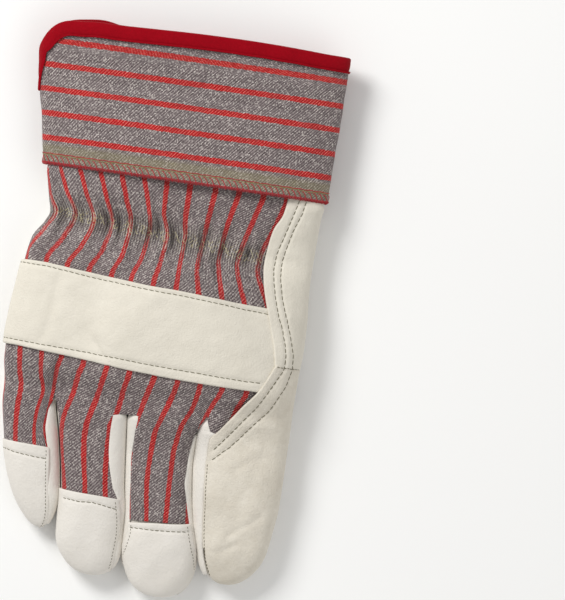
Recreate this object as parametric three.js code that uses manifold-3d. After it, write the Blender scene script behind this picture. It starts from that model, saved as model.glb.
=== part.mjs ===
// A right-hand leather palm work glove lying palm down, with its thumb folded flat under the palm.
// Millimetres. +Z is up, out of the back of the hand; the fingers point to -Y, the cuff opens to +Y,
// and the index finger is on the +X side.
// The glove is a hollow skin: a palm tube, four finger tubes and a thumb tube are joined, hollowed,
// and then cut in plan into the panels of leather and striped cloth that the glove is sewn from.
import * as THREE from "three";
import Module from "manifold-3d";
import { mergeVertices } from "three/addons/utils/BufferGeometryUtils.js";

const wasm = await Module();
wasm.setup();

// Driving sizes.
const palmLength = 110.5; // from the cuff's lower edge to the crotches between the fingers
const palmWidth = 135;
const palmThickness = 29;
const fingerReach = 86; // the stretch below the crotches that the finger table covers
const pinkyLength = 61;
const ringLength = 80;
const middleLength = 86;
const indexLength = 75.5;
const fingerThickness = 21;
const tipRounding = 19; // the length over which a fingertip rounds off
const thumbLength = 58; // the free part, beyond its crotch with the palm
const thumbWidth = 53; // at that crotch
const thumbThickness = 11;
const thumbRoot = 16; // how far the thumb's tube runs back into the palm
const cuffHeight = 69.5;
const cuffWidth = 135.5; // at its lower edge
const cuffThickness = 27;
const cuffUnderlap = 8; // the hand's skin goes this far up inside the cuff
const cornerRadius = 21; // the rounded corner of the cuff's rim at the slit
const slitDepth = 36; // the slit in the cuff's pinky side
const bindingWidth = 7.3;
const patchWidth = 51;
const patchHeight = 33;
const patchCorner = 13;

// Wall thicknesses and clearances.
const skinWall = 1.5;
const cuffWall = 1.8;
const strapWall = 1.4;
const patchWall = 1.4;
const bindingWall = 0.9;
const seamGap = 0.3; // between two panels that meet edge to edge
const layerGap = 0.4; // between a panel and one laid over it
const fingerGap = 0.8; // between two fingers lying side by side
const foldGap = 0.6; // between the thumb and the palm that lies on it
const palmClear = 0.5; // the palm hangs this far off the surface that the fingers and thumb rest on

// The elastic that gathers the back across the wrist sinks into it along a slanting line.
const elasticDepth = 3;
const elasticSpread = 5.5; // how far to each side the cloth is drawn in
const elasticStart = 27; // below the cuff, at the middle of the hand
const elasticSlant = 0.09; // how much further below, for each step towards the index side

// How finely the surfaces are divided.
const handPoints = 38; // round the palm and the cuff, which nest and so share their corners
const fingerPoints = 16;
const thumbPoints = 20;
const palmRings = 13;
const far = 180; // safely outside the glove, for cutters

// The palm's outline and height, from the cuff seam (0) to the crotches (1).
// left and right are shares of half the palm's width, top of the palm's thickness.
const palmRows = [
  { along: 0.08, left: -0.95, right: 0.965, top: 0.9 },
  { along: 0.15, left: -0.925, right: 0.96, top: 0.87 },
  { along: 0.205, left: -0.905, right: 0.957, top: 0.84 },
  { along: 0.245, left: -0.935, right: 0.955, top: 0.87 },
  { along: 0.32, left: -1.005, right: 0.952, top: 0.93 },
  { along: 0.42, left: -1.033, right: 0.958, top: 0.98 },
  { along: 0.52, left: -1.05, right: 0.972, top: 1.0 },
  { along: 0.64, left: -1.07, right: 0.976, top: 1.0 },
  { along: 0.76, left: -1.08, right: 0.966, top: 0.97 },
  { along: 0.87, left: -1.075, right: 0.962, top: 0.92 },
  { along: 0.95, left: -1.066, right: 0.965, top: 0.87 },
  { along: 1.0, left: -1.06, right: 0.968, top: 0.82 },
];

// The lines between the fingers, as shares of half the palm's width, by the share of the reach
// below the crotches.
const fingerLines = [
  { down: -0.3, outer: -1.06, pinkyRing: -0.69, ringMiddle: -0.18, middleIndex: 0.335, edge: 0.96 },
  { down: 0.0, outer: -1.058, pinkyRing: -0.68, ringMiddle: -0.167, middleIndex: 0.338, edge: 0.969 },
  { down: 0.2, outer: -1.019, pinkyRing: -0.627, ringMiddle: -0.145, middleIndex: 0.335, edge: 0.972 },
  { down: 0.41, outer: -0.957, pinkyRing: -0.578, ringMiddle: -0.116, middleIndex: 0.361, edge: 0.97 },
  { down: 0.57, outer: -0.881, pinkyRing: -0.554, ringMiddle: -0.086, middleIndex: 0.4, edge: 0.948 },
  { down: 0.73, outer: -0.785, pinkyRing: -0.551, ringMiddle: -0.077, middleIndex: 0.449, edge: 0.916 },
  { down: 0.87, outer: -0.7, pinkyRing: -0.52, ringMiddle: -0.053, middleIndex: 0.452, edge: 0.874 },
  { down: 1.0, outer: -0.6, pinkyRing: -0.49, ringMiddle: -0.044, middleIndex: 0.459, edge: 0.83 },
];

// Each finger lies between two of those lines. thick is a share of the finger thickness.
const fingers = [
  { name: "pinky", length: pinkyLength, from: "outer", to: "pinkyRing", thick: 0.83 },
  { name: "ring", length: ringLength, from: "pinkyRing", to: "ringMiddle", thick: 0.97 },
  { name: "middle", length: middleLength, from: "ringMiddle", to: "middleIndex", thick: 1.0 },
  { name: "index", length: indexLength, from: "middleIndex", to: "edge", thick: 1.0 },
];

// A finger's height along its length, as a share of its thickness, with its root inside the palm.
const fingerHeights = [
  { along: -0.1, height: 0.95 },
  { along: 0.0, height: 1.07 },
  { along: 0.2, height: 1.05 },
  { along: 0.45, height: 1.0 },
  { along: 0.7, height: 0.92 },
  { along: 0.85, height: 0.83 },
  { along: 1.0, height: 0.72 },
];

// The thumb's half width, as a share of half its width at the crotch.
const thumbWidths = [
  { along: -0.3, half: 0.72 },
  { along: 0.0, half: 1.0 },
  { along: 0.2, half: 0.93 },
  { along: 0.4, half: 0.87 },
  { along: 0.62, half: 0.78 },
  { along: 0.78, half: 0.66 },
  { along: 0.9, half: 0.47 },
  { along: 0.97, half: 0.27 },
  { along: 1.0, half: 0.1 },
];

// The cuff's outline from its lower edge (0) to its rim (1), as shares of half its width,
// with its height as a share of its thickness.
const cuffRows = [
  { up: 0.0, left: -0.995, right: 1.008, top: 1.0 },
  { up: 0.25, left: -1.03, right: 1.014, top: 0.99 },
  { up: 0.5, left: -1.075, right: 1.018, top: 0.97 },
  { up: 0.75, left: -1.12, right: 1.022, top: 0.98 },
  { up: 1.0, left: -1.15, right: 1.027, top: 1.0 },
];

const halfPalm = palmWidth / 2;
const halfCuff = cuffWidth / 2;
const sink = 1.5; // a tube is pressed this far into the surface, so its underside is flat there
const cuffLift = patchWall + layerGap; // the cuff lies on the patch sewn under it

// How round the cross sections are above and below their middle: 2 is an ellipse, more is squarer.
// crowd gathers the points of a wide section towards its middle.
const palmRound = { over: 2.4, under: 4, crowd: 0.3 };
const fingerRound = { over: 2.5, under: 2.8, crowd: 0.08 };
const thumbRound = { over: 2.8, under: 2.8, crowd: 0.15 };
const cuffRound = { over: 1.9, under: 1.9, crowd: 0.3 };

// Value of a column at a position in a table that is sorted by its key.
function at(rows, key, position, column) {
  const next = rows.findIndex((row) => row[key] >= position);
  if (next === 0) return rows[0][column];
  if (next < 0) return rows[rows.length - 1][column];
  const [a, b] = [rows[next - 1], rows[next]];
  const share = (position - a[key]) / (b[key] - a[key]);
  return a[column] + share * (b[column] - a[column]);
}

const smooth = THREE.MathUtils.smoothstep;

// The thumb's own axes in plan: along runs from its crotch to its tip, across points to the index.
const thumbCrotch = new THREE.Vector2(0.444 * halfPalm, -0.566 * palmLength);
const thumbAngle = THREE.MathUtils.degToRad(49.4); // from the fingers' direction towards the pinky
const thumbAlong = new THREE.Vector2(-Math.sin(thumbAngle), -Math.cos(thumbAngle));
const thumbAcross = new THREE.Vector2(Math.cos(thumbAngle), -Math.sin(thumbAngle));

function thumbPoint(along, across) {
  return thumbCrotch
    .clone()
    .addScaledVector(thumbAlong, along)
    .addScaledVector(thumbAcross, across);
}

// How far the palm's underside is lifted by the thumb lying beneath it.
function lift(x, y) {
  const fromCrotch = new THREE.Vector2(x, y).sub(thumbCrotch);
  const along = fromCrotch.dot(thumbAlong);
  const across = Math.abs(fromCrotch.dot(thumbAcross));
  const share = THREE.MathUtils.clamp(along / thumbLength, 0, 1);
  const half = (at(thumbWidths, "along", share, "half") * thumbWidth) / 2;
  const start = smooth(along, -0.25 * thumbLength, 0.12 * thumbLength);
  const end = 1 - smooth(along, 1.05 * thumbLength, 1.4 * thumbLength);
  const side = 1 - smooth(across, half + 3, half + 0.6 * thumbWidth);
  return (thumbThickness + foldGap) * start * end * side;
}

// How deep the elastic has drawn the cloth in.
function gather(x, y) {
  const past = (y + elasticStart + elasticSlant * x) / elasticSpread;
  return elasticDepth * Math.exp(-(past ** 2));
}

// How far a point of the hand is moved up, or down, by the thumb below it and the elastic in it.
// The back rises less than the palm does, and only the back is gathered.
function rise(x, y, z) {
  const high = z / palmThickness;
  return lift(x, y) * (1 - 0.6 * high) - gather(x, y) * smooth(high, 0.5, 0.85);
}

// A ring of points along a rounded cross section, grown by a distance and pressed flat at its
// floor. Each point is placed with the point it has grown from.
function ring(count, section, grow, place) {
  const { left, right, bottom, top, round, floor } = section;
  const points = [];
  for (let i = 0; i < count; i++) {
    const turn = (i / count) * 2 * Math.PI;
    const angle = turn + round.crowd * Math.sin(2 * turn);
    const power = 2 / (angle < Math.PI ? round.over : round.under);
    const across = Math.sign(Math.cos(angle)) * Math.abs(Math.cos(angle)) ** power;
    const up = Math.sign(Math.sin(angle)) * Math.abs(Math.sin(angle)) ** power;
    const from = {
      x: (left + right) / 2 + ((right - left) / 2) * across,
      z: (bottom + top) / 2 + ((top - bottom) / 2) * up,
    };
    const z = Math.max(from.z + grow * up, floor - grow);
    points.push(place(from.x + grow * across, z, { ...from, z: Math.max(from.z, floor) }));
  }
  return points;
}

// A closed solid through rings of points, each of which stands upright in a plane of its own.
function loft(rings) {
  const count = rings[0].length;
  const indices = [];
  for (let r = 0; r + 1 < rings.length; r++) {
    const [near, ahead] = [r * count, (r + 1) * count];
    for (let i = 0; i < count; i++) {
      const next = (i + 1) % count;
      indices.push(near + i, near + next, ahead + next, near + i, ahead + next, ahead + i);
    }
  }
  for (const r of [0, rings.length - 1]) {
    const ends = rings[r];
    const across = ends[0].clone().sub(ends[Math.floor(count / 2)]).setZ(0).normalize();
    const flat = ends.map((point) => new THREE.Vector2(point.dot(across), point.z));
    for (const face of THREE.ShapeUtils.triangulateShape(flat, [])) {
      if (r === 0) face.reverse();
      indices.push(...face.map((corner) => r * count + corner));
    }
  }
  const geometry = new THREE.BufferGeometry().setFromPoints(rings.flat());
  geometry.setIndex(indices);
  return solidOf(geometry);
}

// A solid for joining and cutting, from a closed geometry, with its faces turned to point out.
function solidOf(geometry) {
  const bare = new THREE.BufferGeometry();
  bare.setAttribute("position", geometry.getAttribute("position"));
  bare.setIndex(geometry.index);
  const merged = mergeVertices(bare, 1e-4);
  const positions = merged.attributes.position.array;
  const corners = Uint32Array.from(merged.index.array);
  const [a, b, c] = [new THREE.Vector3(), new THREE.Vector3(), new THREE.Vector3()];
  let volume = 0;
  for (let i = 0; i < corners.length; i += 3) {
    a.fromArray(positions, corners[i] * 3);
    b.fromArray(positions, corners[i + 1] * 3);
    c.fromArray(positions, corners[i + 2] * 3);
    volume += a.dot(b.cross(c)) / 6;
  }
  if (volume < 0) corners.reverse();
  const mesh = new wasm.Mesh({ numProp: 3, vertProperties: positions, triVerts: corners });
  return new wasm.Manifold(mesh);
}

// An upright prism over a closed outline in plan, between two heights.
function prism(outline, low, high) {
  const shape = new THREE.Shape(outline);
  const options = { depth: high - low, bevelEnabled: false, steps: 1 };
  const geometry = new THREE.ExtrudeGeometry(shape, options).translate(0, 0, low);
  return solidOf(geometry);
}

// The space below the seam between the back and the palm, which runs a little below half height.
const seamShare = { wrist: 0.4, fingers: 0.3 }; // shares of the palm's thickness
function belowSeam() {
  const size = 320;
  const block = new THREE.BoxGeometry(size, size, size, 24, 24, 1);
  block.translate(0, -palmLength, 0);
  const positions = block.getAttribute("position");
  for (let i = 0; i < positions.count; i++) {
    const point = new THREE.Vector3().fromBufferAttribute(positions, i);
    if (point.z < 0) continue;
    const towards = smooth(-point.y, 0.9 * palmLength, 1.15 * palmLength);
    const share = THREE.MathUtils.lerp(seamShare.wrist, seamShare.fingers, towards);
    const height = share * palmThickness;
    positions.setZ(i, height + rise(point.x, point.y, height));
  }
  return solidOf(block);
}

// An upright prism over an outline in plan, above that seam.
function abovePalm(outline) {
  return prism(outline, -far, far).subtract(belowSeam());
}

// An outline grown outwards by a distance, or shrunk by a negative one.
function grown(outline, distance) {
  const turn = Math.sign(THREE.ShapeUtils.area(outline));
  const count = outline.length;
  return outline.map((point, i) => {
    const before = point.clone().sub(outline[(i + count - 1) % count]).normalize();
    const after = outline[(i + 1) % count].clone().sub(point).normalize();
    const normal = (d) => new THREE.Vector2(d.y, -d.x).multiplyScalar(turn);
    const sum = normal(before).add(normal(after));
    const reach = (2 * distance) / Math.max(sum.lengthSq(), 0.5);
    return point.clone().addScaledVector(sum, reach);
  });
}

// The largest piece of a cut solid, without the crumbs that a cut can leave.
function largest(solid) {
  const pieces = solid.decompose();
  return pieces.reduce((a, b) => (a.volume() > b.volume() ? a : b));
}

const union = (solids) => solids.reduce((a, b) => a.add(b));

// The cuff as a solid tube, grown by a distance, between two shares of its height.
function cuffSection(up) {
  const row = (column) => at(cuffRows, "up", up, column);
  return {
    left: row("left") * halfCuff,
    right: row("right") * halfCuff,
    bottom: cuffLift,
    top: cuffLift + row("top") * cuffThickness,
    round: cuffRound,
    floor: -far,
  };
}

function cuffTube(grow, from, to) {
  const stations = [from, 0, 0.5, to].filter((up, i, all) => i === 0 || up > all[i - 1]);
  const rings = stations.map((up) => {
    const place = (x, z) => new THREE.Vector3(x, up * cuffHeight, z);
    return ring(handPoints, cuffSection(up), grow, place);
  });
  return loft(rings);
}

// The palm as a solid tube, grown by a distance. Its upper end lies inside the cuff.
function palmTube(grow) {
  const ends = grow < 0 ? 10 : 0; // a hollow runs out past the open end
  const inCuff = (y) => (x, z) => new THREE.Vector3(x, y, z);
  const rings = [cuffUnderlap + ends, -0.02 * palmLength].map((y) =>
    ring(handPoints, cuffSection(0), grow - cuffWall - layerGap, inCuff(y)),
  );
  for (let i = 0; i <= palmRings; i++) {
    const along = 0.08 + (i / palmRings) * 0.92;
    const row = (column) => at(palmRows, "along", along, column);
    const section = {
      left: row("left") * halfPalm,
      right: row("right") * halfPalm,
      bottom: palmClear - sink,
      top: row("top") * palmThickness,
      round: palmRound,
      floor: palmClear,
    };
    const y = -along * palmLength;
    const end = i === palmRings ? grow : 0;
    const place = (x, z, from) => new THREE.Vector3(x, y - end, z + rise(from.x, y, from.z));
    rings.push(ring(handPoints, section, grow, place));
  }
  return loft(rings);
}

// A finger as a solid tube, grown by a distance, with a rounded tip.
function fingerTube(finger, grow) {
  const { length, from: near, to: other } = finger;
  const thickness = finger.thick * fingerThickness;
  const middleHeight = 0.42 * thickness;
  const shoulder = 1 - tipRounding / length;
  const stations = [-0.1, 0.03, 0.22, 0.45].filter((along) => along < shoulder - 0.1);
  for (const past of [0, 0.4, 0.7, 0.9, 1]) stations.push(shoulder + past * (1 - shoulder));
  const rings = stations.map((along) => {
    const down = (along * length) / fingerReach;
    const left = at(fingerLines, "down", down, near) * halfPalm + fingerGap / 2;
    const right = at(fingerLines, "down", down, other) * halfPalm - fingerGap / 2;
    const past = Math.max(0, (along - shoulder) / (1 - shoulder));
    const fullness = (1 - Math.min(past, 0.98) ** 2.2) ** (1 / 2.2);
    const swell = fullness ** 0.7;
    const height = at(fingerHeights, "along", along, "height") * thickness;
    const section = {
      left: (left + right) / 2 - ((right - left) / 2) * fullness,
      right: (left + right) / 2 + ((right - left) / 2) * fullness,
      bottom: middleHeight - (middleHeight + sink) * swell,
      top: middleHeight + (height - middleHeight) * swell,
      round: fingerRound,
      floor: 0,
    };
    const y = -palmLength - along * length;
    const place = (x, z, from) =>
      new THREE.Vector3(x, y - grow * past, z + rise(from.x, y, from.z));
    return ring(fingerPoints, section, grow, place);
  });
  return loft(rings);
}

// The thumb as a solid tube, grown by a distance, lying on the surface under the palm.
function thumbTube(grow) {
  const middleHeight = 0.45 * thumbThickness;
  const stations = [-thumbRoot / thumbLength, 0, 0.2, 0.4, 0.62, 0.78, 0.9, 0.97, 1];
  const rings = stations.map((share) => {
    const half = (at(thumbWidths, "along", share, "half") * thumbWidth) / 2;
    const swell = Math.min(1, Math.max(1 - share, 0.015) / 0.14) ** 0.5;
    const section = {
      left: -half,
      right: half,
      bottom: middleHeight - (middleHeight + sink) * swell,
      top: middleHeight + (thumbThickness - middleHeight) * swell,
      round: thumbRound,
      floor: 0,
    };
    const along = share * thumbLength + grow * (share < 0 ? -1 : share);
    return ring(thumbPoints, section, grow, (across, z) => {
      const place = thumbPoint(along, across);
      return new THREE.Vector3(place.x, place.y, z);
    });
  });
  return loft(rings);
}

// Points in plan from shares of half the palm's width and of the palm's length.
const plan = (rows) =>
  rows.map(([across, along]) => new THREE.Vector2(across * halfPalm, -along * palmLength));

// The same below the crotches, where down is a share of the reach of the finger table.
const below = (rows) =>
  rows.map(
    ([across, down]) => new THREE.Vector2(across * halfPalm, -palmLength - down * fingerReach),
  );

// The edge of the leather on the back's index side, from inside the cuff to the index crotch.
const indexSeam = plan([
  [0.79, -0.1], [0.735, 0.012], [0.66, 0.137], [0.641, 0.247], [0.65, 0.338], [0.704, 0.479],
  [0.77, 0.6], [0.81, 0.71], [0.741, 0.794], [0.683, 0.866], [0.554, 0.951], [0.4, 0.975],
]);

// How far down each finger its cloth back reaches, and the cloth's edges there.
const clothEnd = { pinky: 0.265, ring: 0.478, middle: 0.592 };
const pinkyCloth = below([[-0.7, 0], [-0.723, 0.113], [-0.699, clothEnd.pinky]]);
const ringCloth = {
  left: below([[-0.552, clothEnd.ring], [-0.61, 0.233], [-0.659, 0.062], [-0.683, 0]]),
  right: below([[-0.26, 0.045], [-0.268, 0.194], [-0.237, 0.333], [-0.155, clothEnd.ring]]),
};
const middleCloth = {
  left: below([[-0.052, clothEnd.middle], [-0.067, 0.436], [-0.099, 0.193], [-0.078, 0.042]]),
  right: below([[0.355, 0.01], [0.308, 0.085], [0.292, 0.326], [0.33, 0.48], [0.378, clothEnd.middle]]),
};
const spot = (x, y) => new THREE.Vector2(x, y);
const pinkyEnd = -palmLength - clothEnd.pinky * fingerReach;

const clothOutline = [
  spot(-far, far),
  spot(indexSeam[0].x, far),
  ...indexSeam,
  ...middleCloth.right,
  ...middleCloth.left,
  ...ringCloth.right,
  ...ringCloth.left,
  ...pinkyCloth,
  spot(-far, pinkyEnd),
];

// The three leather fingertips, past the end of the cloth.
const tipOutlines = {
  tip_pinky: [
    spot(-far, pinkyEnd),
    pinkyCloth[2],
    ...below([[-0.66, 0.45], [-0.62, 0.64], [-0.6, 1.2]]),
    spot(-far, -palmLength - 1.2 * fingerReach),
  ],
  tip_ring: [
    ...below([[-0.56, clothEnd.ring], [-0.155, clothEnd.ring], [-0.125, 0.7], [-0.12, 0.87]]),
    ...below([[-0.12, 1.2], [-0.56, 1.2]]),
  ],
  tip_middle: [
    ...below([[-0.052, clothEnd.middle], [0.378, clothEnd.middle], [0.445, 0.75], [0.445, 1.2]]),
    ...below([[-0.052, 1.2]]),
  ],
};

// The knuckle strap, between two slanting edges across the back.
const strapOutline = [
  ...plan([[-1.2, 0.437], [0.704, 0.481]]),
  ...indexSeam.slice(6, 9),
  ...plan([[0.7, 0.841], [-1.2, 0.769]]),
];

// The thumb's wing: the leather round the index side, from the cuff down to the seam across it.
const wingSeam = 0.715;
const wingBelow = [
  ...plan([[0.45, -0.2], [0.45, 0.018], [0.25, 0.33]]),
  thumbPoint(1, -0.52 * thumbWidth),
  thumbPoint(1, 0.52 * thumbWidth),
  ...plan([[0.837, wingSeam + 0.012], [1.5, wingSeam], [1.5, -0.2]]),
];
const wingAbove = [
  ...indexSeam.slice(0, 8),
  ...plan([[1.5, wingSeam], [1.5, -0.2], [0.79, -0.2]]),
];

// The leather of the ring and middle fingers' fronts, a separate piece below the palm.
const frontsOutline = below([
  [-0.684, -0.045], [0.338, -0.045], [0.335, 0.2], [0.361, 0.41], [0.4, 0.57], [0.449, 0.73],
  [0.452, 0.87], [0.459, 1.2], [-0.49, 1.2], [-0.49, 1.0], [-0.52, 0.87], [-0.551, 0.73],
  [-0.554, 0.57], [-0.578, 0.41], [-0.627, 0.2],
]);

// The hollow skin of the whole hand.
const handOuter = union([palmTube(0), ...fingers.map((f) => fingerTube(f, 0)), thumbTube(0)]);
const handInner = union([
  palmTube(-skinWall),
  ...fingers.map((f) => fingerTube(f, -skinWall)),
  thumbTube(-skinWall),
]);
const skin = handOuter.subtract(handInner);

// The panels of the hand, cut from the skin.
const halfGap = seamGap / 2;
const panel = (outline) => largest(skin.intersect(abovePalm(grown(outline, -halfGap))));
const room = (outline) => abovePalm(grown(outline, halfGap)).translate([0, 0, -seamGap]);
const leather = skin.subtract(union([clothOutline, ...Object.values(tipOutlines)].map(room)));
const backSolid = panel(clothOutline);

const wingZone = (growth) =>
  prism(grown(wingBelow, growth), -far, 0.6 * palmThickness)
    .add(prism(grown(wingAbove, growth), 0.5 * palmThickness, far))
    .add(thumbTube(foldGap / 2 + growth));
const frontsZone = (growth) => prism(grown(frontsOutline, growth), -far, far);
const thumbSolid = largest(leather.intersect(wingZone(-halfGap)));
const frontsSolid = largest(
  leather.intersect(frontsZone(-halfGap)).subtract(wingZone(halfGap)),
);
const palmSolid = largest(leather.subtract(wingZone(halfGap).add(frontsZone(halfGap))));

// The knuckle strap lies on the cloth.
const strapSolid = largest(
  palmTube(layerGap + strapWall)
    .subtract(palmTube(layerGap))
    .intersect(abovePalm(strapOutline)),
);

// The cuff: a tube with a rounded corner and a slit at the pinky side, bound along its rim.
const slitEdge = -1.095 * halfCuff;
function rimOutline(inset) {
  const centre = spot(slitEdge + cornerRadius, cuffHeight - cornerRadius);
  const foot = cuffHeight - slitDepth;
  const points = [spot(far, -far), spot(far, cuffHeight - inset)];
  const steps = 5;
  for (let i = 0; i <= steps; i++) {
    const angle = (Math.PI / 2) * (1 + i / steps);
    const arm = spot(Math.cos(angle), Math.sin(angle));
    points.push(centre.clone().addScaledVector(arm, cornerRadius - inset));
  }
  return [...points, spot(slitEdge + inset, foot), spot(-far, foot), spot(-far, -far)];
}
const cuffBand = (growth, inset) =>
  cuffTube(growth, 0, 1.2)
    .subtract(cuffTube(-cuffWall - growth, -0.2, 1.3))
    .intersect(prism(rimOutline(inset), -far, far));
const cuffSolid = largest(cuffBand(0, bindingWall + layerGap));
const bindingSolid = largest(
  cuffBand(layerGap + bindingWall, 0)
    .subtract(prism(rimOutline(bindingWidth), -far, far))
    .subtract(cuffBand(layerGap, bindingWall)),
);

// The patch over the pulse, sewn on under the cuff.
const patchMiddle = -0.015 * halfCuff;
function patchOutline() {
  const [left, right] = [patchMiddle - patchWidth / 2, patchMiddle + patchWidth / 2];
  const points = [spot(left, 0), spot(right, 0)];
  const steps = 5;
  for (const [x, start] of [[right - patchCorner, 0], [left + patchCorner, Math.PI / 2]]) {
    for (let i = 0; i <= steps; i++) {
      const angle = start + (i / steps) * (Math.PI / 2);
      const y = patchHeight - patchCorner + patchCorner * Math.sin(angle);
      points.push(spot(x + patchCorner * Math.cos(angle), y));
    }
  }
  return points;
}
const patchSolid = largest(
  cuffTube(layerGap + patchWall, -0.1, 1)
    .subtract(cuffTube(layerGap, -0.2, 1.1))
    .intersect(prism(patchOutline(), -far, cuffLift + cuffThickness / 4)),
);

// The glove as a scene graph, with its origin under the middle of its bounding box.
const finishes = {
  leather: new THREE.MeshStandardMaterial({ color: 0xe3dfd3, roughness: 0.75, metalness: 0 }),
  stripedCloth: new THREE.MeshStandardMaterial({ color: 0x8d8283, roughness: 0.95, metalness: 0 }),
  binding: new THREE.MeshStandardMaterial({ color: 0xb4061c, roughness: 0.9, metalness: 0 }),
};

function meshOf(name, solid, material) {
  const { numProp, vertProperties, triVerts } = solid.getMesh();
  const positions = new Float32Array((vertProperties.length / numProp) * 3);
  for (let i = 0; i < positions.length / 3; i++)
    positions.set(vertProperties.subarray(i * numProp, i * numProp + 3), i * 3);
  const geometry = new THREE.BufferGeometry();
  geometry.setAttribute("position", new THREE.BufferAttribute(positions, 3));
  geometry.setIndex(new THREE.BufferAttribute(Uint32Array.from(triVerts), 1));
  geometry.computeVertexNormals();
  const mesh = new THREE.Mesh(geometry, material);
  mesh.name = name;
  return mesh;
}

const glove = new THREE.Group();
glove.add(
  meshOf("back", backSolid, finishes.stripedCloth),
  meshOf("knuckle_strap", strapSolid, finishes.leather),
  meshOf("palm", palmSolid, finishes.leather),
  meshOf("finger_fronts", frontsSolid, finishes.leather),
  meshOf("thumb", thumbSolid, finishes.leather),
  meshOf("cuff", cuffSolid, finishes.stripedCloth),
  meshOf("cuff_binding", bindingSolid, finishes.binding),
  meshOf("pulse_patch", patchSolid, finishes.leather),
);
for (const [name, outline] of Object.entries(tipOutlines))
  glove.add(meshOf(name, panel(outline), finishes.leather));

const bounds = new THREE.Box3().setFromObject(glove);
const middle = bounds.getCenter(new THREE.Vector3());
glove.position.set(-middle.x, -middle.y, -bounds.min.z);

export default glove;
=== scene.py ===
import math

import bpy
import numpy as np
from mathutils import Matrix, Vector
from mathutils.bvhtree import BVHTree


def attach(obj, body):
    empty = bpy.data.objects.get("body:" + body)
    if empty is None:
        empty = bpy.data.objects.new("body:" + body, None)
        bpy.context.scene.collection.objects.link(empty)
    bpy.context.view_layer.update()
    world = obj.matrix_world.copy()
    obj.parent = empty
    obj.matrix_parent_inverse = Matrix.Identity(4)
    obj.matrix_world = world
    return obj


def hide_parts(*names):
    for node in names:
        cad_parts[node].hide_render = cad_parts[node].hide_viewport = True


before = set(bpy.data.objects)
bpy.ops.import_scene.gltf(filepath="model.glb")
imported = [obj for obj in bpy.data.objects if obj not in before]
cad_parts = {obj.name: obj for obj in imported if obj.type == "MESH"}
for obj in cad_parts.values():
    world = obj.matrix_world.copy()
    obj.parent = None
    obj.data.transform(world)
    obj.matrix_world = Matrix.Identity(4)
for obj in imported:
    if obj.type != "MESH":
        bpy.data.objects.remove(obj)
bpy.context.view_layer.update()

MM = 0.001
SHIFT = np.array([1.938, 63.5, 0.0])  # from the glove's own axes to the frame, in mm
PI = math.pi


# ---------------------------------------------------------------- small tools
PIXEL = 0.4725  # mm that a pixel of the picture stands for
TILT = math.radians(8.2)  # how far the glove is turned in the picture


def line(points):
    """A line drawn through points of the picture, in mm in the glove's own axes: x to the index
    side, y to the cuff."""
    px, py = np.array(points, float).T
    dx, dy = (px - 165) * PIXEL, -(py - 320) * PIXEL
    c, s = math.cos(TILT), math.sin(TILT)
    return np.stack([dx * c - dy * s, dx * s + dy * c - 65.7], 1)


def smooth(a, b, v):
    t = np.clip((np.asarray(v, float) - a) / (b - a), 0, 1)
    return t * t * (3 - 2 * t)


def curve(xs, ys, v):
    """Smooth interpolation through points, without overshoot. Ends stay level."""
    xs, ys = np.asarray(xs, float), np.asarray(ys, float)
    if xs[0] > xs[-1]:
        xs, ys = xs[::-1], ys[::-1]
    h = np.diff(xs)
    d = np.diff(ys) / h
    m = np.zeros_like(ys)
    for i in range(1, len(xs) - 1):
        if d[i - 1] * d[i] > 0:
            w1, w2 = 2 * h[i] + h[i - 1], h[i] + 2 * h[i - 1]
            m[i] = (w1 + w2) / (w1 / d[i - 1] + w2 / d[i])
    m[0], m[-1] = d[0], d[-1]
    v = np.clip(np.asarray(v, float), xs[0], xs[-1])
    k = np.clip(np.searchsorted(xs, v) - 1, 0, len(xs) - 2)
    t = (v - xs[k]) / h[k]
    a = (1 + 2 * t) * (1 - t) ** 2 * ys[k] + t * (1 - t) ** 2 * h[k] * m[k]
    return a + t * t * (3 - 2 * t) * ys[k + 1] + t * t * (t - 1) * h[k] * m[k + 1]


def wave(x, y, seed, size):
    """Smooth bumps of about a given size in mm, from -1 to 1, the same each run."""
    rng = np.random.default_rng(seed)
    total = np.zeros(np.broadcast(x, y).shape)
    for _ in range(7):
        a = rng.uniform(0, 2 * PI)
        k = 2 * PI / (size * rng.uniform(0.7, 1.5))
        total += np.sin(k * (np.cos(a) * x + np.sin(a) * y) + rng.uniform(0, 2 * PI))
    return total / 3.2


def unit(v):
    return v / (np.linalg.norm(v, axis=-1, keepdims=True) + 1e-9)


def lengths(points):
    """The distance along a line of points to each of them."""
    return np.concatenate([[0], np.cumsum(np.linalg.norm(np.diff(points, axis=0), axis=1))])


def between(d, values, at):
    """Rows of values that are known at the distances d, at other distances."""
    return np.stack([np.interp(at, d, v) for v in values.T], 1)


def blurred(values, rounds):
    """Evens out a row of values in place. Its first and last stay as they are."""
    for _ in range(rounds):
        values[1:-1] = (values[:-2] + 2 * values[1:-1] + values[2:]) / 4
    return values


def grid_of(x, y, z):
    return np.stack(np.broadcast_arrays(x, y, z), -1)


# ---------------------------------------------------------------- numbers and tables, in mm
PALM = 110.5  # from the cuff's lower edge to the crotches
HALF = 67.5  # half the palm's width
THICK = 29.0  # the palm's height
REACH = 86.0  # from the crotches to the middle fingertip
FINGER_THICK = 21.0
TIP = 19.0  # length of a finger's rounded end
ROOTS = -93.0  # y where the fingers begin, inside the palm
DIAGONAL_TOP = -83.3  # y where the edge of the index side's leather turns across the back
WRAP = 5.0  # how far inside the left outline sheets start to wrap round the side
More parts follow.
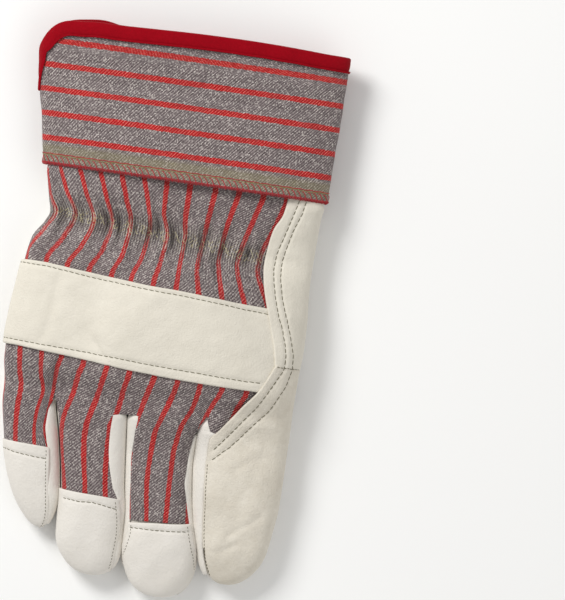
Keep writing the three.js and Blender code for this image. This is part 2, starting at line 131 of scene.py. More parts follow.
# Sections of the palm: y, left, right, bottom, top, roundness above, roundness below.
PALM_ROWS = np.array([
    [12.0, -65.2, 66.1, 4.0, 26.6, 1.9, 1.9],
    [-2.2, -65.2, 66.1, 4.0, 26.6, 1.9, 1.9],
    [-8.8, -64.1, 65.1, -0.5, 26.1, 2.3, 3.4],
    [-16.6, -62.4, 64.8, -1.0, 25.2, 2.4, 4.0],
    [-22.6, -61.1, 64.6, -1.0, 24.4, 2.4, 4.0],
    [-27.1, -62.8, 64.5, -1.0, 25.2, 2.4, 4.0],
    [-35.4, -67.8, 64.3, -1.0, 27.0, 2.4, 4.0],
    [-46.4, -69.7, 64.7, -1.0, 28.4, 2.4, 4.0],
    [-57.5, -70.9, 65.6, -1.0, 29.0, 2.4, 4.0],
    [-70.7, -72.2, 65.9, -1.0, 29.0, 2.4, 4.0],
    [-84.0, -72.9, 65.2, -1.0, 28.1, 2.4, 4.0],
    [-96.1, -72.6, 64.9, -1.0, 26.7, 2.4, 4.0],
    [-105.0, -72.0, 65.1, -1.0, 25.2, 2.4, 4.0],
    [-110.5, -71.6, 65.3, -1.0, 23.8, 2.4, 4.0],
    [-125.0, -70.0, 65.3, -1.0, 19.0, 2.4, 4.0],
])
# Lines between the fingers: the share of the reach below the crotches, then the x of each line
# as a share of half the palm's width.
LINES = np.array([
    [-0.3, -1.06, -0.69, -0.18, 0.335, 0.96],
    [0.0, -1.058, -0.68, -0.167, 0.338, 0.969],
    [0.2, -1.019, -0.627, -0.145, 0.335, 0.972],
    [0.41, -0.957, -0.578, -0.116, 0.361, 0.97],
    [0.57, -0.881, -0.554, -0.086, 0.4, 0.948],
    [0.73, -0.785, -0.551, -0.077, 0.449, 0.916],
    [0.87, -0.7, -0.52, -0.053, 0.452, 0.874],
    [1.0, -0.6, -0.49, -0.044, 0.459, 0.83],
])
# Length, the lines to the left and right, thickness as a share of FINGER_THICK.
FINGERS = {
    "pinky": (61.0, 1, 2, 0.83),
    "ring": (80.0, 2, 3, 0.97),
    "middle": (86.0, 3, 4, 1.0),
    "index": (75.5, 4, 5, 1.0),
}
ENDS = {name: -PALM - finger[0] for name, finger in FINGERS.items()}  # y of each fingertip
# Height along a finger, as a share of its thickness.
HEIGHTS = np.array([[-0.1, 0.95], [0, 1.07], [0.2, 1.05], [0.45, 1.0], [0.7, 0.92], [0.85, 0.83],
    [1.0, 0.72]])
# Width along the thumb, as a share of THUMB_WIDE. The thumb lies folded under the palm.
THUMB_ROWS = np.array([
    [-0.3, 0.72], [0, 1.0], [0.2, 0.93], [0.4, 0.87], [0.62, 0.78], [0.78, 0.66], [0.9, 0.47],
    [0.97, 0.27], [1.0, 0.1],
])
THUMB_AT = np.array([0.444 * HALF, -0.566 * PALM])
THUMB_TURN = math.radians(49.4)
THUMB_ALONG = np.array([-math.sin(THUMB_TURN), -math.cos(THUMB_TURN)])
THUMB_ACROSS = np.array([math.cos(THUMB_TURN), -math.sin(THUMB_TURN)])
THUMB_LONG, THUMB_WIDE, THUMB_THICK = 58.0, 53.0, 11.0


# ---------------------------------------------------------------- the hand's surface
def lift(x, y):
    along = (x - THUMB_AT[0]) * THUMB_ALONG[0] + (y - THUMB_AT[1]) * THUMB_ALONG[1]
    across = np.abs((x - THUMB_AT[0]) * THUMB_ACROSS[0] + (y - THUMB_AT[1]) * THUMB_ACROSS[1])
    half = curve(THUMB_ROWS[:, 0], THUMB_ROWS[:, 1], np.clip(along / THUMB_LONG, 0, 1)) * THUMB_WIDE / 2
    start = smooth(-0.25 * THUMB_LONG, 0.12 * THUMB_LONG, along)
    end = 1 - smooth(1.05 * THUMB_LONG, 1.4 * THUMB_LONG, along)
    t = np.clip((across - half - 3) / (0.6 * THUMB_WIDE - 3), 0, 1)
    return (THUMB_THICK + 0.6) * start * end * (1 - t * t * (3 - 2 * t))


def elastic_line(x):
    """Where the elastic runs across the back: y at each x."""
    return -27 - 0.09 * x


def gather(x, y):
    return 3.0 * np.exp(-(((y - elastic_line(x)) / 5.5) ** 2))


def rise(x, y, z):
    high = z / THICK
    return lift(x, y) * (1 - 0.6 * high) - gather(x, y) * smooth(0.5, 0.85, high)


def palm_row(y):
    return [curve(PALM_ROWS[:, 0], PALM_ROWS[:, i], y) for i in range(1, 7)]


def finger_row(name, y):
    length, a, b, thick = FINGERS[name]
    thick = thick * FINGER_THICK
    along = (-PALM - y) / length
    down = (-PALM - y) / REACH
    left = curve(LINES[:, 0], LINES[:, a], down) * HALF + 0.4
    right = curve(LINES[:, 0], LINES[:, b], down) * HALF - 0.4
    shoulder = 1 - TIP / length
    past = np.clip((along - shoulder) / (1 - shoulder), 0, 1)
    full = (1 - np.minimum(past, 0.9995) ** 2.2) ** (1 / 2.2)
    swell = full**0.7
    height = curve(HEIGHTS[:, 0], HEIGHTS[:, 1], along) * thick
    mid = 0.42 * thick
    centre, half = (left + right) / 2, (right - left) / 2 * full
    return [
        centre - half,
        centre + half,
        mid - (mid + 1.5) * swell,
        mid + (height - mid) * swell,
        np.full_like(centre, 2.5),
        np.full_like(centre, 2.8),
    ]


def root_row(name, y):
    """A finger's section, which stays the same from its root on into the palm."""
    return finger_row(name, np.minimum(y, ROOTS))


def on_ring(row, angle, floor):
    """A point on a section: angle 0 is its right side, a quarter turn its top. With its normal."""
    left, right, bottom, top, over, under = row
    power = np.where(np.sin(angle) >= 0, over, under)
    c, s = np.cos(angle), np.sin(angle)
    u = np.sign(c) * np.abs(c) ** (2 / power)
    w = np.sign(s) * np.abs(s) ** (2 / power)
    hx, hz = (right - left) / 2, (top - bottom) / 2
    x = (left + right) / 2 + hx * u
    z = np.maximum((top + bottom) / 2 + hz * w, floor)
    nx = np.sign(u) * np.abs(u) ** (power - 1) / np.maximum(hx, 0.05)
    nz = np.sign(w) * np.abs(w) ** (power - 1) / np.maximum(hz, 0.05)
    size = np.sqrt(nx * nx + nz * nz) + 1e-9
    return x, z, nx / size, nz / size


def ring_angle(row, x):
    """The angle at which the upper side of a section has a given x."""
    left, right, over = row[0], row[1], row[4]
    u = np.clip((x - (left + right) / 2) / np.maximum((right - left) / 2, 0.05), -1, 1)
    return np.arccos(np.sign(u) * np.abs(u) ** (over / 2))


def top_of(row, x):
    left, right, bottom, top, over, _ = row
    u = np.clip(np.abs((x - (left + right) / 2) / np.maximum((right - left) / 2, 0.05)), 0, 1)
    return (top + bottom) / 2 + (top - bottom) / 2 * (1 - u**over) ** (1 / over)


def to_fingers(y):
    """The share of the fingers' sections in the hand's."""
    return smooth(93, 110, -np.asarray(y, float))


def outline(finger, side, y):
    """x of the hand's left (side 0) or right (side 1) outline, which runs on into a finger."""
    s = to_fingers(y)
    return palm_row(y)[side] * (1 - s) + root_row(finger, y)[side] * s


def top(x, y):
    """Height of the hand's upper side, with the fingers rising out of the palm."""
    x, y = np.broadcast_arrays(np.asarray(x, float), np.asarray(y, float))
    tips = np.full(x.shape, -99.0)
    web = 3.4 * smooth(119, 111, -y)  # the cloth bridges the notches between the fingers' roots
    for name in FINGERS:
        row = root_row(name, y)
        inside = (x >= row[0] - 0.6) & (x <= row[1] + 0.6)
        low = row[0] + (0 if name == "pinky" else web)
        high = row[1] - (0 if name == "index" else web)
        tips = np.where(inside, np.maximum(tips, top_of(row, np.clip(x, low, high))), tips)
    tips = np.where(tips < 0, 0.42 * FINGER_THICK * 0.9, tips)
    s = to_fingers(y)
    z = top_of(palm_row(y), x) * (1 - s) + tips * s
    return z + rise(x, y, z)


def seam_height(y):
    """Height of the seam between the back and the palm along the glove's sides."""
    return THICK * (0.4 - 0.1 * smooth(0.0, 100.0, -np.asarray(y, float)))


def low_angle(row, z):
    """How far round from its widest point, towards its underside, a section reaches a height."""
    bottom, high, over, under = row[2], row[3], row[4], row[5]
    w = np.clip(((bottom + high) / 2 - z) / ((high - bottom) / 2), -0.95, 0.95)
    return np.where(w >= 0, np.arcsin(np.abs(w) ** (under / 2)), -np.arcsin(np.abs(w) ** (over / 2)))


def side(which, y, edge, low, share, off=0.0):
    """Points that wrap round the glove's left or right side, from x = edge on top (share 0)
    down to the height low (share 1)."""
    finger = "pinky" if which == "left" else "index"
    found = []
    for row, floor in ((palm_row(y), 0.5), (root_row(finger, y), 0.0)):
        start, turn = ring_angle(row, edge), low_angle(row, low)
        stop = PI + turn if which == "left" else -turn
        x, z, nx, nz = on_ring(row, start + (stop - start) * share, floor)
        found.append((x + nx * off, z + nz * off, x, z))
    s = to_fingers(y)
    x, z, bx, bz = [a * (1 - s) + b * s for a, b in zip(*found)]
    return x, z + rise(bx, y, bz)


# ---------------------------------------------------------------- meshes
def make(name, verts, faces, material, uv=None):
    """An object from vertices in mm in the glove's own axes. uv is a pair for each vertex."""
    mesh = bpy.data.meshes.new(name)
    verts = np.array(verts, float)
    verts[:, 2] = np.maximum(verts[:, 2], 0.0)
    mesh.from_pydata(((verts + SHIFT) * MM).tolist(), [], [list(map(int, f)) for f in faces])
    mesh.validate()
    if uv is not None:
        layer = mesh.uv_layers.new(name="weave")
        loops = np.zeros(len(mesh.loops), np.int32)
        mesh.loops.foreach_get("vertex_index", loops)
        layer.data.foreach_set("uv", np.asarray(uv, np.float32)[loops].ravel())
    mesh.polygons.foreach_set("use_smooth", np.ones(len(mesh.polygons), bool))
    mesh.materials.append(material)
    obj = bpy.data.objects.new(name, mesh)
    bpy.context.scene.collection.objects.link(obj)
    return obj


def grid_faces(rows, cols, closed=False):
    i = np.arange(rows - 1)[:, None] * cols
    j = np.arange(cols if closed else cols - 1)[None, :]
    a, b = i + j, i + (j + 1) % cols
    return np.stack([a, b, b + cols, a + cols], -1).reshape(-1, 4).tolist()


def closed_tube(grid):
    """The vertices and faces of a tube of sections, with its ends closed."""
    rows, cols = grid.shape[:2]
    ids = list(range(rows * cols))
    return grid.reshape(-1, 3), grid_faces(rows, cols, True) + [ids[:cols][::-1], ids[-cols:]]


def gathered(solids):
    """The vertices and faces of several solids as one."""
    verts, faces, count = [], [], 0
    for v, f in solids:
        verts.append(v)
        faces += [[i + count for i in g] for g in f]
        count += len(v)
    return np.concatenate(verts), faces


def normals_of(grid):
    return unit(np.cross(np.gradient(grid, axis=1), np.gradient(grid, axis=0)))


def merged(parts):
    """Joins grids of (points, uv) where their points coincide. Gives vertices, faces and uv."""
    verts, uvs, faces = [], [], []
    seen = {}
    for grid, uv in parts:
        rows, cols = grid.shape[:2]
        flat, flat_uv = grid.reshape(-1, 3), uv.reshape(-1, 2)
        index = np.zeros(len(flat), int)
        for i, p in enumerate(flat):
            key = (round(p[0] * 200), round(p[1] * 200), round(p[2] * 200))
            if key not in seen:
                seen[key] = len(verts)
                verts.append(p)
                uvs.append(flat_uv[i])
            index[i] = seen[key]
        for f in grid_faces(rows, cols):
            g = [index[k] for k in f]
            clean = [g[k] for k in range(4) if g[k] != g[k - 1]]
            if len(set(clean)) >= 3 and len(set(clean)) == len(clean):
                faces.append(clean)
    return np.array(verts), faces, np.array(uvs)


def hem(verts, faces, uvs, thick, under=1.6):
    """Gives a sheet the look of its thickness: its free edges turn down and under."""
    verts = np.asarray(verts, float)
    normal = np.zeros_like(verts)
    edges = {}
    for f in faces:
        a, b, c = verts[f[0]], verts[f[1]], verts[f[2]]
        n = np.cross(b - a, c - a)
        for k, i in enumerate(f):
            normal[i] += n
            j = f[(k + 1) % len(f)]
            key = (min(i, j), max(i, j))
            edges[key] = (i, j) if key not in edges else None
    normal = unit(normal)
    free = [e for e in edges.values() if e is not None]
    out = {}
    for i, j in free:
        d = unit(verts[j] - verts[i])
        for k in (i, j):
            out[k] = out.get(k, 0) + np.cross(d, normal[k])
    ids = sorted(out)
    o = unit(np.array([out[k] for k in ids]))
    base, n = verts[ids], normal[ids]
    rings = []
    for t in np.radians((45, 90, 135, 180)):
        round_edge = o * (thick / 2 * math.sin(t)) - n * thick / 2 * (1 - math.cos(t))
        rings.append(base + round_edge)
    rings.append(base - o * under - n * thick)
    place = {k: i for i, k in enumerate(ids)}
    start = len(verts)
    all_verts = np.concatenate([verts] + rings)
    all_uvs = np.concatenate([uvs] + [uvs[ids]] * len(rings))
    all_faces = list(faces)
    count = len(ids)
    for i, j in free:
        a, b = i, j
        for r in range(len(rings)):
            c, d = start + r * count + place[j], start + r * count + place[i]
            all_faces.append([b, a, d, c])
            a, b = d, c
    return all_verts, all_faces, all_uvs


def facing(verts, faces, up=True):
    """The faces, turned over where needed so that most of them look up, or down."""
    verts = np.asarray(verts)
    total = 0.0
    for f in faces:
        total += np.cross(verts[f[1]] - verts[f[0]], verts[f[2]] - verts[f[0]])[2]
    return faces if (total > 0) == up else [list(f)[::-1] for f in faces]


def sheet(name, grid, material, thick, up=True):
    flat = grid.reshape(-1, 3)
    faces = facing(flat, grid_faces(*grid.shape[:2]), up)
    v, f, t = hem(flat, faces, flat[:, :2], thick)
    return make(name, v, f, material, t)


def vertices_of(mesh):
    """A mesh's vertices in mm in the glove's own axes."""
    co = np.zeros(len(mesh.vertices) * 3)
    mesh.vertices.foreach_get("co", co)
    return co.reshape(-1, 3) / MM - SHIFT


def tree_of(obj):
    faces = [tuple(p.vertices) for p in obj.data.polygons]
    return BVHTree.FromPolygons([Vector(c) for c in vertices_of(obj.data)], faces)


def drop(trees, x, y, high=60.0):
    """The highest surface point under each x, y, with its normal."""
    points, normals = [], []
    for a, b in zip(x, y):
        best, n = None, None
        for tree in trees:
            hit = tree.ray_cast(Vector((a, b, high)), Vector((0, 0, -1)))
            if hit[0] is not None and (best is None or hit[0].z > best.z):
                best, n = hit[0], hit[1]
        if best is not None:
            points.append(best)
            normals.append(n if n.z > 0 else -n)
    return np.array(points, float), np.array(normals, float)


def resample(points, step):
    d = lengths(points)
    return between(d, points, np.linspace(0, d[-1], max(2, int(round(d[-1] / step)) + 1)))


def smooth_line(points):
    """A line through points, rounded at its corners."""
    return blurred(resample(points, 0.5), 6)


def away(x, y, path):
    """Distance in plan from each x, y to a path."""
    a, b = path[:-1], path[1:]
    best = np.full(np.shape(x), 1e9)
    for (ax, ay), (bx, by) in zip(a, b):
        dx, dy = bx - ax, by - ay
        t = np.clip(((x - ax) * dx + (y - ay) * dy) / (dx * dx + dy * dy + 1e-9), 0, 1)
        best = np.minimum(best, (x - ax - t * dx) ** 2 + (y - ay - t * dy) ** 2)
    return np.sqrt(best)


def groove(grid, path, depth=0.45, width=0.9):
    """The dent that a line of stitches or a crease makes in a sheet."""
    return -depth * np.exp(-((away(grid[..., 0], grid[..., 1], path) / width) ** 2))


def tube(path, radius, sides):
    """A thread along a path, with closed ends."""
    path = np.asarray(path, float)
    t = unit(np.gradient(path, axis=0))
    ref = np.array([0.0, 0, 1]) if abs(t[0][2]) < 0.9 else np.array([1.0, 0, 0])
    a = unit(np.cross(t, ref))
    b = np.cross(t, a)
    radius = np.broadcast_to(radius, (len(path),))[:, None, None]
    angle = np.linspace(0, 2 * PI, sides, endpoint=False)[None, :, None]
    ring = radius * np.cos(angle) * a[:, None] + radius * np.sin(angle) * b[:, None]
    return closed_tube(path[:, None] + ring)


class Threads:
    """Many short threads gathered into one mesh."""

    def __init__(self):
        self.solids = []

    def add(self, path, radius, sides=6):
        self.solids.append(tube(path, radius, sides))

    def make(self, name, material):
        v, f = gathered(self.solids)
        return make(name, v, f, material, v[:, :2])


def sew(threads, points, normals, seed, stitch=2.7, gap=0.12, radius=0.17):
    """Lockstitches along a line on a surface: each bulges up and dives in at its ends."""
    rng = np.random.default_rng(seed)
    d = lengths(points)
    t = np.linspace(0, 1, 7)
    bulge = 0.32 * np.sin(PI * t) ** 0.45 - 0.22
    s = 0.1
    while s + stitch * 0.9 < d[-1]:
        length = stitch * rng.uniform(0.92, 1.08)
        p = between(d, points, s + t * length)
        n = unit(between(d, normals, s + t * length))
        lateral = unit(np.cross(np.gradient(p, axis=0), n))
        lean = rng.uniform(-0.07, 0.07) + (t[:, None] - 0.5) * rng.uniform(-0.1, 0.35)
        p = p + n * bulge[:, None] + lateral * lean
        threads.add(p, radius * (0.7 + 0.3 * np.sin(PI * t)))
        s += length + gap


# ---------------------------------------------------------------- materials
class Value:
    """A socket of a material's nodes, so that sums of sockets read as plain arithmetic."""

    def __init__(self, graph, socket):
        self.graph, self.socket = graph, socket

    def __add__(self, other):
        return self.graph.math("ADD", self, other)

    def __sub__(self, other):
        return self.graph.math("SUBTRACT", self, other)

    def __rsub__(self, other):
        return self.graph.math("SUBTRACT", other, self)

    def __mul__(self, other):
        return self.graph.math("MULTIPLY", self, other)

    def __truediv__(self, other):
        return self.graph.math("DIVIDE", self, other)


class Graph:
    """A material, with short names for the nodes that it is made of."""

    def __init__(self, name):
        self.material = bpy.data.materials.new(name)
        self.material.use_nodes = True
        self.tree = self.material.node_tree
        self.tree.nodes.clear()
        out = self.tree.nodes.new("ShaderNodeOutputMaterial")
        self.shader = self.tree.nodes.new("ShaderNodeBsdfPrincipled")
        self.tree.links.new(self.shader.outputs[0], out.inputs[0])

    def put(self, socket, value):
        if isinstance(value, Value):
            self.tree.links.new(value.socket, socket)
        elif value is not None:
            socket.default_value = value

    def node(self, kind, inputs, output=0, **settings):
        node = self.tree.nodes.new(kind)
        for name, value in settings.items():
            setattr(node, name, value)
        for key, value in inputs.items():
            self.put(node.inputs[key], value)
        return Value(self, node.outputs[output])

    def math(self, operation, *values):
        return self.node("ShaderNodeMath", dict(enumerate(values)), operation=operation)

    def mix(self, share, a, b):
        return self.node("ShaderNodeMix", {0: share, 6: a, 7: b}, 2, data_type="RGBA")

    def noise(self, vector, scale, detail=2.0, rough=0.5):
        inputs = {"Vector": vector, "Scale": scale, "Detail": detail, "Roughness": rough}
        return self.node("ShaderNodeTexNoise", inputs)

    def white(self, vector):
        return self.node("ShaderNodeTexWhiteNoise", {"Vector": vector})

    def cells(self, vector, scale, feature="F1"):
        inputs = {"Vector": vector, "Scale": scale}
        return self.node("ShaderNodeTexVoronoi", inputs, "Distance", feature=feature)

    def combine(self, x, y, z=0.0):
        return self.node("ShaderNodeCombineXYZ", {0: x, 1: y, 2: z})

    def split(self, vector):
        node = self.tree.nodes.new("ShaderNodeSeparateXYZ")
        self.put(node.inputs[0], vector)
        return [Value(self, socket) for socket in node.outputs]

    def uv(self):
        return self.node("ShaderNodeUVMap", {}, uv_map="weave")

    def place(self):
        return self.node("ShaderNodeTexCoord", {}, "Object")

    def bump(self, height, strength, distance, normal=None):
        inputs = {"Strength": strength, "Distance": distance, "Height": height, "Normal": normal}
        return self.node("ShaderNodeBump", inputs)

    def surface(self, shade, rough, normal=None, sheen=0.0, sheen_rough=0.5, specular=0.5):
        """Fills in the shader and gives the material."""
        inputs = self.shader.inputs
        self.put(inputs["Base Color"], shade)
        self.put(inputs["Roughness"], rough)
        self.put(inputs["Normal"], normal)
        inputs["Sheen Weight"].default_value = sheen
        inputs["Sheen Roughness"].default_value = sheen_rough
        inputs["Specular IOR Level"].default_value = specular
        return self.material


def colour(text):
    """A colour written as its sRGB code, as linear numbers."""
    parts = [int(text[i : i + 2], 16) / 255 for i in (0, 2, 4)]
    return tuple([c / 12.92 if c <= 0.04045 else ((c + 0.055) / 1.055) ** 2.4 for c in parts] + [1.0])


def leather(name, light, dark, grain, mottle):
    g = Graph(name)
    at = g.place()
    spots = g.noise(at, 260, 4, 0.65)
    fine = g.noise(at, 1500, 3, 0.6)
    share = g.noise(at, 45, 3, 0.6) * 0.55 + spots * 0.45
    share = g.math("MAXIMUM", (share - (0.5 - 0.16 / mottle)) * (2.2 * mottle), 0.0)
    shade = g.mix(g.math("SMOOTH_MIN", share, 1.0, 0.1), colour(light), colour(dark))
    speck = g.math("MAXIMUM", (fine - 0.5) * (0.35 * mottle), 0.0)
    shade = g.mix(speck, shade, colour("a39a88"))
    plates = g.math("MINIMUM", g.cells(at, 620, "DISTANCE_TO_EDGE"), 0.18)
    normal = g.bump(g.noise(at, 120, 5, 0.7), 0.35 * grain, 0.0016)  # creases
    normal = g.bump(plates, 0.22 * grain, 0.0012, normal)
    normal = g.bump(g.cells(at, 1300) + fine, 0.16 * grain, 0.0004, normal)  # pores
    return g.surface(shade, spots * 0.22 + 0.56, normal, 0.12, 0.6, 0.32)


def striped_cloth(name, pitch, cuff=False):
    """Twill with red warp stripes. uv is in mm: x across the warp, from a stripe's middle, and y
    along it. The attribute gathers holds how near a point of the back is to the elastic, how high
    on a fold it lies and how near it is to the folds below the elastic."""
    g = Graph(name)
    u, v, _ = g.split(g.uv())
    across = u + (g.noise(g.combine(u, v), 0.35, 2) - 0.5) * 0.5
    yarn, pick = across / 0.54, v / 0.5  # in mm, coarse enough to show in the picture
    i, j = g.math("FLOOR", yarn), g.math("FLOOR", pick)
    cell = g.white(g.combine(i, j))
    fleck = g.white(g.combine(i, j, 3.0))
    over = g.math("LESS_THAN", g.math("MODULO", i + j + 3000.0, 3.0), 0.5)
    weft = over * (cell * 0.7 + 0.3)
    grey = g.mix(cell, colour("4b4142"), colour("76696a"))
    grey = g.mix(g.white(g.combine(i, 7.0)) * 0.3, grey, colour("918787"))
    grey = g.mix(weft * 0.68, grey, colour("c4b9b3"))
    pale = g.math("GREATER_THAN", fleck + over * 0.12, 0.9)
    grey = g.mix(pale * 0.46, grey, colour("e9e0d8"))
    red = g.mix(cell, colour("98060d"), colour("c01219"))
    red = g.mix(weft * 0.75, red, colour("ea8276"))
    within = g.math("MAXIMUM", across, -5.0) if cuff else across
    from_middle = g.math("ABSOLUTE", g.math("FRACT", within / pitch + 0.5) - 0.5) * pitch
    ragged = (cell - 0.5) * 0.35
    stripe = g.math("LESS_THAN", from_middle + ragged, 1.32 if cuff else 1.24)
    shade = g.mix(stripe, grey, red)
    cloud = g.math("MAXIMUM", g.noise(g.combine(u, v), 0.12, 3) - 0.4, 0.0)
    shade = g.mix(cloud * 0.55, shade, colour("4a4042"))
    height = weft * 0.6 + g.math("PINGPONG", yarn + pick, 1.5) * 0.35 + cell * 0.4
    if cuff:
        # the tint of the gold thread woven in above the overlocked edge
        band = g.math("MAXIMUM", 2.2 - g.math("ABSOLUTE", u + 7.0) * 0.42, 0.0)
        streak = g.noise(g.combine(u * 2.6, v * 0.25), 1.0, 3, 0.6)
        tint = g.math("MINIMUM", band, 1.0) * (streak * 0.9 + 0.05)
        shade = g.mix(tint, shade, colour("8a8262"))
    else:
        gathers = g.node("ShaderNodeAttribute", {}, "Vector", attribute_name="gathers")
        near, crest, below = g.split(gathers)
        ribs = g.math("SINE", u * 4.4 + g.noise(g.combine(u, v), 0.22, 2) * 5.0)
        ridge = g.math("MAXIMUM", ribs * 0.75 + 0.05, 0.0)
        patchy = g.noise(g.combine(u * 0.8, v * 0.3), 1.0, 2) * 2.4 - 0.65
        # painted highlight: the crests of the ribs near the elastic are lightened in patches, most on the
        # pale yarn flecks
        rib_highlight = near * ridge * g.math("MAXIMUM", patchy, 0.0) * (fleck + 0.35)
        shade = g.mix(g.math("MINIMUM", rib_highlight * 1.25, 0.9), shade, colour("f0e9da"))
        gilt = g.math("GREATER_THAN", g.white(g.combine(i, j, 5.0)), 0.9)
        shade = g.mix(gilt * g.math("POWER", near, 3.0) * 0.75, shade, colour("c4b47c"))
        # painted highlight: below the elastic the crests of the ribs are lightened at random yarn cells
        soft = below * g.math("MAXIMUM", ribs, 0.0) * g.math("GREATER_THAN", fleck, 0.5)
        shade = g.mix(soft * 0.34, shade, colour("d6cec8"))
        # painted shade in the hollows between the ribs near the elastic
        valley_shade = near * g.math("MAXIMUM", ribs * -0.45, 0.0)
        shade = g.mix(valley_shade, shade, colour("3e3435"))
        # painted shade: the back darkens away from the crests of its folds, most near the elastic
        shade = g.mix((1.0 - crest) * (near * 0.5 + 0.12), shade, colour("453b3c"))
        height = height + ribs * (near * 1.6 + below * 0.5)
    return g.surface(shade, 0.92, g.bump(height, 0.6, 0.0005), 0.2, 0.5, 0.15)


def tape(name):
    """Woven binding tape: fine cross ribs. uv is in mm along and across it."""
    g = Graph(name)
    u, v, _ = g.split(g.uv())
    rib, row = u / 0.55, v / 0.5
    cell = g.white(g.combine(g.math("FLOOR", rib), g.math("FLOOR", row)))
    shade = g.mix(g.noise(g.combine(u, v), 0.6, 4, 0.7), colour("80000c"), colour("a00016"))
    shade = g.mix(cell * 0.2, shade, colour("b00c1e"))
    height = g.math("PINGPONG", rib, 0.5) + g.math("PINGPONG", row, 0.5)
    return g.surface(shade, 0.9, g.bump(height, 0.5, 0.0003), 0.05, 0.5, 0.08)


def thread(name, light, dark):
    g = Graph(name)
    fibre = g.noise(g.place(), 2500, 3, 0.7)
    shade = g.mix(fibre, colour(dark), colour(light))
    return g.surface(shade, 0.6, g.bump(fibre, 0.4, 0.0002), 0.2)


hide = leather("grain_leather", "e3ddcf", "d1cabb", 1.0, 0.55)
pale_hide = leather("palm_leather_pale", "ebe6de", "dad4c9", 1.0, 0.5)
split_hide = leather("split_leather", "e2dbcd", "cac1b0", 1.3, 0.9)
PITCH = 10.6  # mm from stripe to stripe on the back
CUFF_PITCH = 11.45  # and on the cuff
cloth = striped_cloth("striped_twill", PITCH)
cuff_cloth = striped_cloth("striped_twill_cuff", CUFF_PITCH, cuff=True)
binding = tape("binding_tape")
olive = thread("olive_thread", "6c643c", "38321c")
gold = thread("gold_thread", "b09a5c", "7c6a3a")
red_thread = thread("red_thread", "c01c26", "8a0c16")
white_thread = thread("elastic_thread", "e6dfb8", "b5a878")

pieces = []


def keep(obj, slot, *nodes):
    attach(obj, "root")
    if nodes:
        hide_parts(*nodes)
    pieces.append(obj)
    return obj


# ---------------------------------------------------------------- stripes of the back
STRIPES = [
    [(47.8, 172.8), (50.5, 195), (56.1, 211), (44, 228), (26.8, 251.8), (20, 345.8), (19.5, 368.2),
    (20.3, 388), (17.8, 404), (15.8, 424.6), (15.3, 442.5)],
    [(59.9, 166.4), (66.5, 190), (75.3, 214.8), (63, 238), (46.6, 259.5), (42.3, 350),
    (41.5, 372.3), (43.5, 391.4), (37.7, 409.6), (34.8, 424.6), (34.4, 446)],
    [(79.7, 166.4), (86.5, 193), (93.8, 221.2), (82, 246), (67.6, 265.9), (62.2, 354.9),
    (57.2, 366.5), (54.3, 379.8), (50, 400), (44, 425), (48, 450)],
    [(100.8, 171.5), (107, 198), (112.2, 223.8), (103, 250), (89.3, 271), (84.6, 359.9),
    (78, 376.5), (73, 393), (65.5, 409.6), (61.4, 422.9), (60.5, 432), (63.5, 487)],
    [(122.4, 176.6), (127, 200), (130.7, 223.8), (124, 252), (112.2, 276.1), (107.8, 365.7),
    (102.8, 381.4), (96.2, 399.7), (87.9, 420.4), (85, 432), (85, 491.4)],
    [(144.8, 180.4), (149, 204), (150.5, 226.3), (143, 256), (131.4, 279.9), (130, 372),
    (124.4, 388.1), (117.5, 412), (110.2, 426), (105.6, 464), (104.9, 497.5)],
    [(167.1, 184.2), (163.9, 211), (167.1, 236.5), (161, 262), (153.7, 285.6), (154.9, 375.5),
    (146.7, 395.9), (139.1, 415.3), (131, 440), (129, 470), (128, 522)],
    [(190, 188), (185.8, 216.8), (185, 239), (180, 268), (176.7, 288.8), (178.4, 379.6),
    (171.2, 399), (161, 419.4), (154.6, 433.3), (147.7, 471.5), (146.2, 522)],
    [(215.8, 191.6), (205.3, 232.6), (201, 251.6), (197.4, 267.4), (199, 293.7), (200.8, 383.7),
    (193.7, 407.1), (181.4, 427.6), (173, 456.2), (165.3, 520.5)],
    [(239, 194.7), (225.3, 232.6), (219, 257.9), (220, 280), (222.1, 297.9), (222.2, 387.8),
    (212, 405.1), (206.9, 413.3), (197, 440), (190, 480), (188, 520)],
    [(263.2, 199), (243.2, 245.3), (237.4, 263.2), (240, 285), (244.2, 303.2), (247.2, 390.8),
    (238.6, 407.1), (228, 430)],
    [(286.3, 204.2), (272.6, 232.6), (260, 256.8), (257.4, 269.5), (262, 290), (267.4, 305.3),
    (270, 393), (262, 410)],
]
STRIPE_LINES = [line(s) for s in STRIPES]


def warp_of(grid):
    """Place across the warp, in mm from the first stripe, along each row of a grid of the back."""
    rows, cols = grid.shape[:2]
    half = cols // 2
    out = np.zeros((rows, cols))
    for r, p in enumerate(grid):
        x = p[:, 0]
        xs = np.stack([curve(s[:, 1], s[:, 0], p[:, 1]) for s in STRIPE_LINES], -1)
        for c in range(cols):
            out[r, c] = np.interp(x[c], xs[c], np.arange(len(STRIPE_LINES)))
        # past the outermost stripes the cloth goes on at the common pitch, measured on the
        # surface, from just inside the first, because x hardly changes down the steep side
        step = np.linalg.norm(np.diff(p, axis=0), axis=1) / PITCH
        outside = np.nonzero((x <= xs[:, 0] + 1.3)[:half])[0]
        first = outside[-1] + 1 if len(outside) else np.argmin((x - xs[:, 0])[:half])
        for c in range(first - 1, -1, -1):
            out[r, c] = out[r, c + 1] - step[c]
        beyond = np.nonzero(x > xs[:, -1])[0]
        for c in range(beyond[0] if len(beyond) else cols, cols):
            out[r, c] = out[r, c - 1] + step[c - 1]
    return out * PITCH


